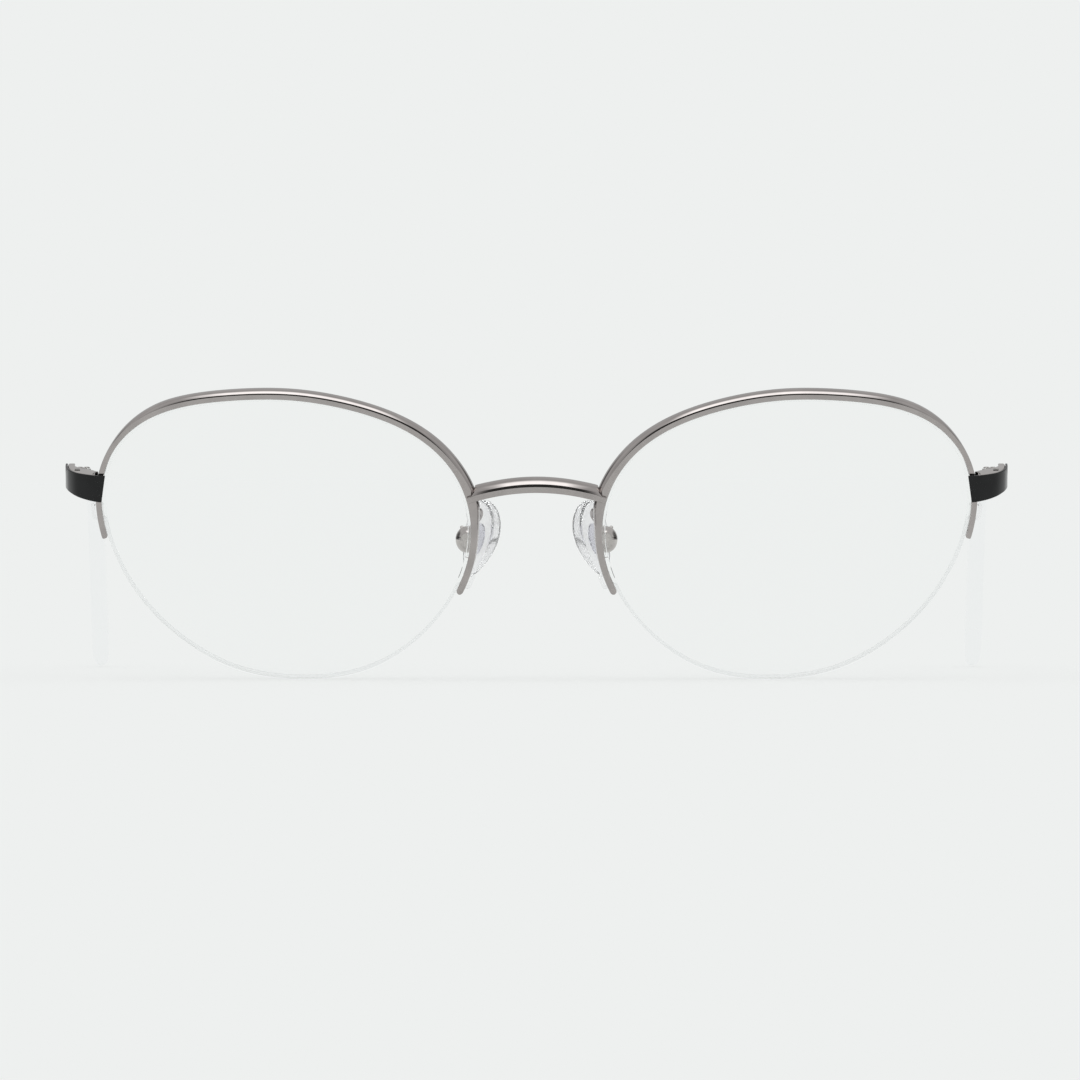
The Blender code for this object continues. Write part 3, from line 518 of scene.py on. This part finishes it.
def rim(name, side):
    """The half rim: satin front face, rounded polished outer side, and the lens channel."""
    front = -RIM_PROUD
    back = front + RIM_DEEP
    middle = LENS_THICK / 2
    channel = (middle - CHANNEL_WIDE / 2, middle + CHANNEL_WIDE / 2)
    arc_tall = CROWN_BEND * (1 - math.sin(CROWN_NORMAL))

    def section(degrees, share=1.0):
        face = rim_face(degrees)
        crown = rim_crown(degrees)
        points = [(RIM_GAP, front + RIM_BEVEL), (RIM_GAP + RIM_BEVEL, front), (face - FACE_EDGE, front)]
        arc = []
        for step in range(ARC_STEPS + 1):
            normal = CROWN_NORMAL + (math.pi / 2 - CROWN_NORMAL) * step / ARC_STEPS
            away = CROWN_BEND * (math.sin(normal) - math.sin(CROWN_NORMAL)) * crown / arc_tall
            depth = CROWN_BEND * (math.cos(CROWN_NORMAL) - math.cos(normal))
            arc.append((face + away, depth))
        points += [(away, front + depth) for away, depth in arc]
        points += [(away, back - depth) for away, depth in reversed(arc)]
        points += [(RIM_GAP + RIM_BEVEL, back), (RIM_GAP, back - RIM_BEVEL), (RIM_GAP, channel[1])]
        points += [(CHANNEL_BOTTOM, channel[1]), (CHANNEL_BOTTOM, channel[0]), (RIM_GAP, channel[0])]
        centre = (RIM_GAP + face + crown) / 2
        return [edge_point(side, degrees, centre + (away - centre) * share, depth) for away, depth in points]

    def rounded_end(degrees, onward, radius):
        width = rim_face(degrees) + rim_crown(degrees) - RIM_GAP
        per_degree = lens_radius(math.radians(degrees)) * math.pi / 180
        rings = []
        for step in range(1, 8):
            angle = math.pi / 2 * step / 7
            share = 1 - 2 * radius * (1 - math.cos(angle)) / width
            beyond = radius * (math.sin(angle) - 1) / per_degree
            rings.append(section(degrees + onward * beyond, max(share, 0.06)))
        return rings

    nose = rounded_end(RIM_START - RIM_END_BEYOND, -1, NOSE_END_ROUND)
    temple_end = rounded_end(RIM_END + RIM_END_BEYOND, 1, TEMPLE_END_ROUND)
    rings = nose[::-1] + [section(degrees) for degrees in angles(RIM_START, RIM_END, FINE)] + temple_end
    columns = len(rings[0])
    finish = [1] * columns
    for index in (0, 1, columns - 1):
        finish[index] = 0
    bm = bmesh.new()
    add_loft(bm, rings, finish)
    piece = new_piece(name, bm, "front", [name.replace("_half", "")], ["face", "polish"], 26)
    for degrees in NOSE_HOLES + TEMPLE_HOLES:
        start = edge_point(side, degrees, RIM_GAP + 0.1 * MM, middle)
        end = edge_point(side, degrees, rim_face(degrees) + 1.2 * MM, middle)
        cut(piece, start, end, HOLE_RADIUS)
    return piece


def lens(name, side):
    """A curved lens with bevelled edges and a round groove for the liner and the cord."""
    steps = angles(0, 360, LENS_STEP)[:-1]

    def surface_ring(share, depth):
        centre = Vector((LENS_OUT, LENS_UP))
        points = [centre + (outline(degrees) - centre) * share for degrees in steps]
        return [wrapped(side, point.x, sag(point) + depth, point.y) for point in points]

    middle = LENS_THICK / 2
    groove = GROOVE_WIDE / 2
    edge = [(-LENS_BEVEL, 0), (0, LENS_BEVEL), (0, middle - groove)]
    for step in range(7):
        angle = math.pi * step / 6
        edge.append((-GROOVE_DEEP * math.sin(angle), middle - groove * math.cos(angle)))
    edge += [(0, middle + groove), (0, LENS_THICK - LENS_BEVEL), (-LENS_BEVEL, LENS_THICK)]
    rings = [surface_ring(share, 0) for share in LENS_SHARES]
    rings += [[edge_point(side, degrees, away, depth) for degrees in steps] for away, depth in edge]
    rings += [surface_ring(share, LENS_THICK) for share in reversed(LENS_SHARES)]
    bm = bmesh.new()
    add_loft(bm, rings)
    return new_piece(name, bm, "front", [name.replace("clear_", "")], ["lens"], 30)


def cord_end(side, holes, onward):
    """The cord's route at one end: out of the far hole, over the rim's wall and back in by the near one."""
    middle = LENS_THICK / 2
    route = []

    def step(hole, distance, away):
        degrees = hole + onward * math.degrees(distance / lens_radius(math.radians(hole)))
        route.append(edge_point(side, degrees, away, middle))

    far, near = holes
    wall = rim_face(far) + rim_crown(far) + 0.07 * MM
    step(far, 0, -0.1 * MM)
    step(far, 0, wall / 2)
    step(far, 0, wall)
    for part in range(15, 91, 15):
        angle = math.radians(part)
        step(far, LOOP_BEND * (1 - math.cos(angle)), wall + LOOP_BEND * math.sin(angle))
    for part in range(90, 14, -15):
        angle = math.radians(part)
        step(near, -LOOP_BEND * (1 - math.cos(angle)), wall + LOOP_BEND * math.sin(angle))
    step(near, 0, wall)
    step(near, 0, wall / 2)
    for part in range(0, 91, 15):
        angle = math.radians(part)
        step(near, CORD_TURN * (1 - math.cos(angle)), CORD_OUT + CORD_TURN * (1 - math.sin(angle)))
    return route


def cord(name, side):
    """The clear cord in the lens's groove below, with its two looped ends in the rim."""
    nose = cord_end(side, NOSE_HOLES, -1)
    temple_end = cord_end(side, [hole - 360 for hole in TEMPLE_HOLES], 1)
    below = [
        edge_point(side, degrees, CORD_OUT, LENS_THICK / 2)
        for degrees in angles(RIM_START - 1, RIM_END - 361, FINE)
    ]
    bm = bmesh.new()
    add_loft(bm, tube_rings(nose + below + temple_end[::-1], CORD_RADIUS, 14))
    return new_piece(name, bm, "front", [name.replace("lens_cord", "nylon_cord")], ["nylon"], 60)


def bridge(name):
    """The arched bar: satin face, rounded polished top, and lips over both rims' faces."""

    def place(x, above, behind, lean):
        rise = BRIDGE_UP - BRIDGE_FALL * x * x
        bow = BRIDGE_BACK + BRIDGE_BOW * x * x
        shift = lean * (above - BRIDGE_FACE / 2)
        return tilted(1, x + shift, bow + behind, rise + above)

    span = BRIDGE_BEND * (1 - math.sin(BRIDGE_NORMAL))
    reach = BRIDGE_BEND * math.cos(BRIDGE_NORMAL)

    def section(x, share, lean):
        """share is 1 for the full bar and 0 for the lip."""
        deep = BRIDGE_LIP + (BRIDGE_DEEP - BRIDGE_LIP) * share
        tall = span * (0.14 + 0.86 * share)
        top_at = BRIDGE_LIP * 0.6 + (reach - BRIDGE_LIP * 0.6) * share
        points = [(0, 0.04 * MM), (0.04 * MM, 0), (BRIDGE_FACE - FACE_EDGE, 0)]
        for step in range(ARC_STEPS + 1):
            normal = BRIDGE_NORMAL + (math.pi / 2 - BRIDGE_NORMAL) * step / ARC_STEPS
            above = BRIDGE_FACE + BRIDGE_BEND * (math.sin(normal) - math.sin(BRIDGE_NORMAL)) / span * tall
            behind = BRIDGE_BEND * (math.cos(BRIDGE_NORMAL) - math.cos(normal)) / reach * top_at
            points.append((above, behind))
        for step in range(1, 7):
            angle = math.pi / 2 * step / 6
            above = BRIDGE_FACE + tall * (0.55 + 0.45 * math.cos(angle))
            points.append((above, top_at + (deep - top_at) * math.sin(angle)))
        points += [(0.15 * MM, deep), (0, deep - 0.1 * MM * min(1, deep / MM))]
        return [place(x, above, behind, lean) for above, behind in points]

    stations = []
    for index in range(-BRIDGE_STEPS, BRIDGE_STEPS + 1):
        x = index / BRIDGE_STEPS * BRIDGE_HALF
        share = 1 - ease(abs(x), *BRIDGE_THINS)
        lean = 0.1 * ease(abs(x), 6 * MM, 8.5 * MM) + 0.2 * ease(abs(x), 9.2 * MM, BRIDGE_HALF)
        stations.append(section(x, share, math.copysign(lean, x)))
    columns = len(stations[0])
    finish = [1] * columns
    for index in (0, 1, columns - 1):
        finish[index] = 0
    bm = bmesh.new()
    add_loft(bm, stations, finish)
    return new_piece(name, bm, "front", ["bridge"], ["face", "polish"], 26)


def band_line():
    """(place, inward normal) down the facing's outer side, seen from above, as far as the hinge."""
    places = smooth_curve([Vector(bend) * MM for bend in BAND_BENDS], 8)
    line = []
    for index, place in enumerate(places):
        run = places[min(index + 1, len(places) - 1)] - places[max(index - 1, 0)]
        line.append((place, Vector((-run.y, run.x)).normalized()))
    return line


def band_section(side, place, inward, near, far, tall, corner, lean=Vector((0, 0)), end=None, shoulder=0):
    """A rounded upright section of the band, from near to far behind its outer side."""
    shape = []
    shoulder = max(shoulder, corner)
    for centre_behind, centre_above, start, radius in (
        (near + corner, corner - tall, 270, corner), (near + shoulder, -shoulder, 180, shoulder),
        (far - corner, -corner, 90, corner), (far - corner, corner - tall, 0, corner),
    ):
        for step in range(7):
            angle = math.radians(start - 15 * step)
            shape.append((centre_behind + radius * math.cos(angle), centre_above + radius * math.sin(angle)))
    ring = []
    for behind, above in shape:
        up = BAND_TOP + above
        point = place + inward * behind + lean * (up - BAND_LEAN_UP)
        back = point.y if end is None else (end + up * math.sin(TILT)) / math.cos(TILT)
        ring.append(tilted(side, point.x, back, up))
    return ring


def band(name, side, node, near, far_at, start, lean, finish, corner, shoulder=0):
    """A band from its front end beside the rim, round the bend, to its end at the hinge."""
    line = band_line()
    place, inward = line[0]
    along_face = Vector((inward.y, -inward.x))
    place = place + along_face * (start - place.x) / along_face.x
    rings = []
    for trim, beyond in ((0.8, 0.0), (0.25, 0.25), (0.0, 1.0)):
        spot = place + along_face * corner * beyond
        rings.append(band_section(
            side, spot, Vector((0, 1)), near + trim * corner * 0.9, far_at(0) - trim * corner * 0.9,
            BAND_TALL[0], corner, along_face * lean, shoulder=shoulder))
    for index, (place, normal) in enumerate(line):
        share = index / (len(line) - 1)
        tall = BAND_TALL[0] + (BAND_TALL[1] - BAND_TALL[0]) * ease(share, 0, 0.8)
        if place.x > start + 0.6 * MM:
            rings.append(band_section(
                side, place, normal, near, far_at(share), tall, corner, shoulder=shoulder))
    end = HINGE_BACK - SPLIT_GAP
    rings.append(band_section(
        side, line[-1][0], Vector((-1, 0)), near, far_at(1), BAND_TALL[1], corner,
        end=end, shoulder=shoulder))
    bm = bmesh.new()
    add_loft(bm, rings)
    return new_piece(name, bm, "front", [node], [finish], 40)


def endpieces(label, side):
    """The metal lug and the black facing over its outer side."""
    band(f"{label}_lug_facing", side, f"{label}_endpiece_facing", 0, lambda share: FACING_THICK,
         BAND_BENDS[0][0] * MM, BAND_LEAN, "lacquer", FACING_CORNER)

    def far(share):
        place = share * (len(ENDPIECE_THICK) - 1)
        index = min(int(place), len(ENDPIECE_THICK) - 2)
        low, high = ENDPIECE_THICK[index:index + 2]
        return (low + (high - low) * (place - index)) * MM

    # The lug's lighter polished metal is partly a painted highlight on its top strip
    band(f"{label}_lug", side, f"{label}_endpiece", FACING_THICK + SKIN_GAP, far, ENDPIECE_START, 0,
         "bright", LUG_CORNER, LUG_SHOULDER)


# ---------------------------------------------------------------- temples


def temple_place(distance):
    """How far back and up the temple's middle line is, and its turn down, at a distance along it."""
    bend_long = TEMPLE_BEND * TEMPLE_DROP
    turn = min(max((distance - TEMPLE_STRAIGHT) / TEMPLE_BEND, 0), TEMPLE_DROP)
    straight = min(distance, TEMPLE_STRAIGHT)
    beyond = max(distance - TEMPLE_STRAIGHT - bend_long, 0)
    back = straight + TEMPLE_BEND * math.sin(turn) + beyond * math.cos(turn)
    up = -TEMPLE_BEND * (1 - math.cos(turn)) - beyond * math.sin(turn) - distance * TEMPLE_SLOPE
    return back, up, turn


def temple_section(side, distance, outside, tall, thick, corner):
    """A rounded upright section across the temple, with its outer side at the given x."""
    back, up, turn = temple_place(distance)
    half = tall / 2
    corner = min(corner, thick / 2, half)
    ring = []
    for inward, above, start in (
        (corner, corner - half, 270), (corner, half - corner, 180),
        (thick - corner, half - corner, 90), (thick - corner, corner - half, 0),
    ):
        for step in range(6):
            angle = math.radians(start - 18 * step)
            x = inward + corner * math.cos(angle)
            z = above + corner * math.sin(angle)
            place = Vector((side * (outside - x), HINGE_BACK + back + z * math.sin(turn),
                            HINGE_UP + up + z * math.cos(turn)))
            ring.append(place + FRONT_SHIFT)
    return ring


def between(stations, distance):
    """A row of numbers eased between the stations round a distance."""
    for low, high in zip(stations, stations[1:]):
        if distance <= high[0]:
            t = ease(distance, low[0], high[0])
            return [a + (b - a) * t for a, b in zip(low[1:], high[1:])]
    return list(stations[-1][1:])


def temple(label, side):
    """The black side arm, with the steel core wire that the tip slides over."""
    rings = []
    end = TIP_START - 0.1 * MM
    for distance in [SPLIT_GAP, SPLIT_GAP + 0.1 * MM, *angles(1 * MM, end, 1.5 * MM)]:
        tall, deep = between(TEMPLE_STATIONS, distance)
        trim = TEMPLE_TRIM if distance in (SPLIT_GAP, end) else 0
        rings.append(temple_section(
            side, distance, SIDE_OUT - trim, tall - 2 * trim, deep - 2 * trim, TEMPLE_CORNER))
    bm = bmesh.new()
    add_loft(bm, rings)
    core = [temple_section(side, distance, SIDE_OUT - CORE_DEEP, CORE_TALL, CORE_THICK, CORE_CORNER)
            for distance in angles(end - 0.3 * MM, CORE_END, 1 * MM)]
    count = len(bm.faces)
    add_loft(bm, core)
    for index, face in enumerate(bm.faces):
        face.material_index = 1 if index >= count else 0
    arm = f"{label}_temple_arm"
    new_piece(f"{label}_side_arm", bm, arm, [f"{label}_temple"], ["lacquer", "steel"], 40)


def temple_tip(label, side):
    """The clear ear tip, with a rounded mouth and a rounded, slimmer end."""
    outside = SIDE_OUT + TIP_PROUD
    rings = []
    distances = angles(TIP_START, TIP_START + TIP_MOUTH, 0.1 * MM)
    distances += angles(90 * MM, TEMPLE_LONG - TIP_ROUND, 1 * MM)
    distances += [TEMPLE_LONG - TIP_ROUND * (1 - math.sin(math.pi / 2 * step / 12)) for step in range(1, 13)]
    for distance in distances:
        tall, thick = between(TIP_STATIONS, distance)
        start = min(1, (distance - TIP_START) / TIP_MOUTH)
        trim = TIP_TRIM * (1 - math.sqrt(max(0, 1 - (1 - start) ** 2)))
        end = max(0, (distance - TEMPLE_LONG + TIP_ROUND) / TIP_ROUND)
        taper = math.sqrt(max(0.004, 1 - end**2))
        slim = 1 - 0.55 * (1 - taper)
        wide = (thick - 2 * trim) * slim
        rings.append(temple_section(side, distance, outside - trim - thick * (1 - slim) / 2,
                                    (tall - 2 * trim) * taper, wide, TIP_CORNER))
    bm = bmesh.new()
    add_loft(bm, rings)
    arm = f"{label}_temple_arm"
    new_piece(f"{label}_ear_tip", bm, arm, [f"{label}_temple_tip"], ["tip"], 50)


# ---------------------------------------------------------------- nose pads


def pad_frame(side):
    """The pad's middle, its long way, its way towards the box, and its screw's way."""
    across = PAD_FACE.cross(PAD_LONG)
    screw = PAD_LONG * math.cos(PAD_SCREW_TURN) + across * math.sin(PAD_SCREW_TURN)
    flip = Matrix.Diagonal((side, 1, 1))
    return flip @ PAD_PLACE + FRONT_SHIFT, flip @ PAD_LONG, flip @ -PAD_FACE, flip @ screw


def facing(place, x_axis, z_axis):
    turn = Matrix((x_axis, z_axis.cross(x_axis), z_axis)).transposed()
    return Matrix.Translation(place) @ turn.to_4x4()


def nose_pad(label, side):
    """The soft pad: a flat, slightly dished back and a fuller face, with a rounded edge."""
    middle, long_way, to_box, _ = pad_frame(side)
    matrix = facing(middle, long_way, to_box)

    def ring(share, height):
        points = []
        for index in range(PAD_SIDES):
            angle = 2 * math.pi * index / PAD_SIDES
            x = math.cos(angle) * share
            y = math.sin(angle) * share
            points.append(matrix @ Vector((
                x * PAD_HALF_LONG, y * PAD_HALF_WIDE * (1 + PAD_EGG * x), height * PAD_HALF_THICK,
            )))
        return points

    rings = []
    for share in (0.04, 0.15, 0.28, 0.4, 0.52, 0.62, 0.7, PAD_FLAT):
        rings.append(ring(share, 0.66 + 0.06 * ease(share, 0.3, 0.8)))
    for step in range(1, 12):
        angle = math.pi / 2 - math.pi * 0.52 * step / 11
        rings.append(ring(PAD_FLAT + (1 - PAD_FLAT) * math.cos(angle), 0.1 + 0.62 * math.sin(angle)))
    for step in range(1, 15):
        share = math.cos(math.pi / 2 * step / 15)
        rings.append(ring(share, 0.05 - 1.0 * math.sin(math.pi / 2 * step / 15)))
    rings.append(ring(0.03, -0.95))
    bm = bmesh.new()
    add_loft(bm, rings)
    piece = new_piece(f"{label}_soft_pad", bm, f"{label}_pad", [f"{label}_nose_pad"], ["silicone"], 60)


def pad_box(label, side):
    """The round polished box that holds the pad, with a socket and a hole for the screw."""
    middle, _, to_box, screw = pad_frame(side)
    profile = [(0.02 * MM, BOX_END)]
    for step in range(1, 13):
        angle = math.pi / 2 * step / 12
        profile.append((BOX_RADIUS * math.sin(angle), BOX_END - BOX_DOME * (1 - math.cos(angle))))
    profile += [
        (BOX_RADIUS, BOX_MOUTH + 0.15 * MM),
        (BOX_RADIUS - 0.04 * MM, BOX_MOUTH + 0.05 * MM),
        (BOX_RADIUS - 0.14 * MM, BOX_MOUTH),
        (BOX_SOCKET + 0.05 * MM, BOX_MOUTH),
        (BOX_SOCKET, BOX_MOUTH + 0.05 * MM),
        (BOX_SOCKET, 3.2 * MM),
        (0.02 * MM, 3.25 * MM),
    ]
    bm = bmesh.new()
    add_loft(bm, turned_rings(profile, middle, to_box))
    piece = new_piece(f"{label}_pad_holder", bm, "front", [f"{label}_pad_box"], ["bright"], 35)
    eye = middle + to_box * EYE_BACK
    cut(piece, eye - screw * BOX_DRILL, eye + screw * BOX_DRILL, EYE_HOLE)


def pad_arm(label, side):
    """The bent wire from behind the rim to the box, thicker at the soldered end."""
    middle, long_way, to_box, _ = pad_frame(side)
    start = edge_point(side, ARM_ANGLE, rim_face(ARM_ANGLE) / 2, RIM_DEEP - RIM_PROUD - 0.1 * MM)
    end = middle + to_box * ARM_END_BACK + long_way * (BOX_RADIUS - 0.1 * MM)
    bends = [Vector((side * x, y, z)) * MM + FRONT_SHIFT for x, y, z in ARM_BENDS]
    route = smooth_curve([start, *bends, end], 10)

    def radius(share):
        return ARM_RADIUS * (1 + 0.3 * (1 - ease(share, 0, 0.1)) + 0.1 * ease(share, 0.93, 1))

    bm = bmesh.new()
    add_loft(bm, tube_rings(route, radius, 18))
    new_piece(f"{label}_pad_wire", bm, "front", [f"{label}_pad_arm"], ["polish"], 60)


def carry_over(label):
    """CAD nodes whose shapes stay get the finished materials and softened edges."""
    for part, finish in (
        ("rim_liner", "liner"), ("front_hinge", "steel"), ("temple_hinge", "steel"),
        ("hinge_screw", "steel"), ("pad_screw", "steel"), ("pad_insert", "insert"),
    ):
        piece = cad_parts[f"{label}_{part}"]
        for material_slot in piece.material_slots:
            material_slot.material = looks[finish]
        if part in ("front_hinge", "temple_hinge"):
            bevel = piece.modifiers.new("soft_edges", "BEVEL")
            bevel.width = 0.07 * MM
            bevel.segments = 2
            bevel.limit_method = "ANGLE"
            bevel.angle_limit = math.radians(40)


for label, side in SIDES:
    rim(f"{label}_half_rim", side)
    lens(f"{label}_clear_lens", side)
    cord(f"{label}_lens_cord", side)
    endpieces(label, side)
    temple(label, side)
    temple_tip(label, side)
    nose_pad(label, side)
    pad_box(label, side)
    pad_arm(label, side)
    carry_over(label)
bridge("arched_bridge")
bake_holes()


# ---------------------------------------------------------------- stage, light and camera


def studio_world():
    """An even pale surround. Gloss sees a studio in it: a soft light above and in front, and a dark room."""
    world = bpy.data.worlds.new("studio")
    bpy.context.scene.world = world
    world.use_nodes = True
    tree = world.node_tree
    background = tree.nodes["Background"]
    direction = tree.nodes.new("ShaderNodeTexCoord").outputs["Generated"]
    split = put(tree, "ShaderNodeSeparateXYZ", [(0, direction)])
    x, y, z = split.outputs
    turn = maths(tree, "DIVIDE", maths(tree, "ARCTAN2", z, maths(tree, "MULTIPLY", y, -1.0)), math.pi)
    ramp = put(tree, "ShaderNodeValToRGB", [(0, turn)])
    stops = (
        (0.0, 0.62), (0.17, 0.62), (0.2, 0.66), (0.36, 0.78),
        (0.56, 0.68), (0.68, 0.75), (0.85, 0.6), (1.0, 0.5),
    )
    while len(ramp.color_ramp.elements) < len(stops):
        ramp.color_ramp.elements.new(0.5)
    for element, (position, value) in zip(ramp.color_ramp.elements, stops):
        element.position = position
        element.color = (value, value, value, 1)
    around = put(tree, "ShaderNodeSeparateColor", [(0, ramp.outputs[0])]).outputs[0]
    side = maths(tree, "ABSOLUTE", x)
    low_turn = remap(tree, turn, 0.19, 0.215, 1, 0, True)
    room = maths(tree, "MULTIPLY", low_turn, remap(tree, side, 0.45, 0.65, 1, 0, True))
    room = maths(tree, "MULTIPLY", room, maths(tree, "GREATER_THAN", z, 0.0))
    light_start = remap(tree, turn, 0.195, 0.215, 0, 1, True)
    light = maths(tree, "MULTIPLY", light_start, remap(tree, turn, 0.36, 0.5, 1, 0, True))
    light = maths(tree, "MULTIPLY", light, remap(tree, side, 0.3, 0.52, 1, 0, True))
    unlit = maths(tree, "MULTIPLY", around, maths(tree, "SUBTRACT", 1.0, light))
    value = maths(tree, "ADD", unlit, maths(tree, "MULTIPLY", light, SOFTBOX))
    value = maths(tree, "MULTIPLY", value, remap(tree, room, 0, 1, 1, DARK_ROOM))
    sideways = remap(tree, side, 0.5, 0.7, 0, 1, True)
    behind = maths(tree, "MULTIPLY", sideways, remap(tree, y, 0.05, 0.35, 0, 1, True))
    level = remap(tree, maths(tree, "ABSOLUTE", z), 0.35, 0.6, 1, 0, True)
    behind = maths(tree, "MULTIPLY", behind, level)
    value = maths(tree, "MULTIPLY", value, remap(tree, behind, 0, 1, 1, DARK_BEHIND))
    paths = put(tree, "ShaderNodeLightPath")
    not_through = maths(tree, "SUBTRACT", 1.0, paths.outputs["Is Transmission Ray"])
    gloss = maths(tree, "MULTIPLY", paths.outputs["Is Glossy Ray"], not_through)
    grey = put(tree, "ShaderNodeCombineColor", [(0, value), (1, value), (2, value)]).outputs[0]
    tree.links.new(colour_mix(tree, gloss, BACKDROP, grey), background.inputs["Color"])


def stage_floor():
    bm = bmesh.new()
    bmesh.ops.create_grid(bm, x_segments=8, y_segments=8, size=60)
    mesh = bpy.data.meshes.new("floor")
    bm.to_mesh(mesh)
    bm.free()
    material, _, shader, _ = start_material("pale_floor", Roughness=1.0)
    shader.inputs["Specular IOR Level"].default_value = 0.0
    shader.inputs["Base Color"].default_value = (0.4, 0.4, 0.4, 1)
    shader.inputs["Emission Color"].default_value = (*BACKDROP, 1)
    shader.inputs["Emission Strength"].default_value = 0.6
    mesh.materials.append(material)
    floor = bpy.data.objects.new("floor", mesh)
    bpy.context.scene.collection.objects.link(floor)


def camera():
    """Level with the temples, far off, with the picture shifted down to centre the front."""
    data = bpy.data.cameras.new("camera")
    data.sensor_width = SENSOR
    data.lens = SENSOR * VIEW_AWAY / VIEW_WIDE
    data.shift_y = (VIEW_MIDDLE - VIEW_AXIS) / VIEW_WIDE
    data.clip_start = 0.1
    data.clip_end = 500
    view = bpy.data.objects.new("camera", data)
    bpy.context.scene.collection.objects.link(view)
    bridge_low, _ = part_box("bridge")
    view.location = (VIEW_PLACE[0], bridge_low.y - VIEW_AWAY, VIEW_PLACE[1])
    view.rotation_euler = (math.pi / 2, 0, 0)
    bpy.context.scene.camera = view


studio_world()
stage_floor()
camera()
scene = bpy.context.scene
scene.view_settings.view_transform = "Standard"
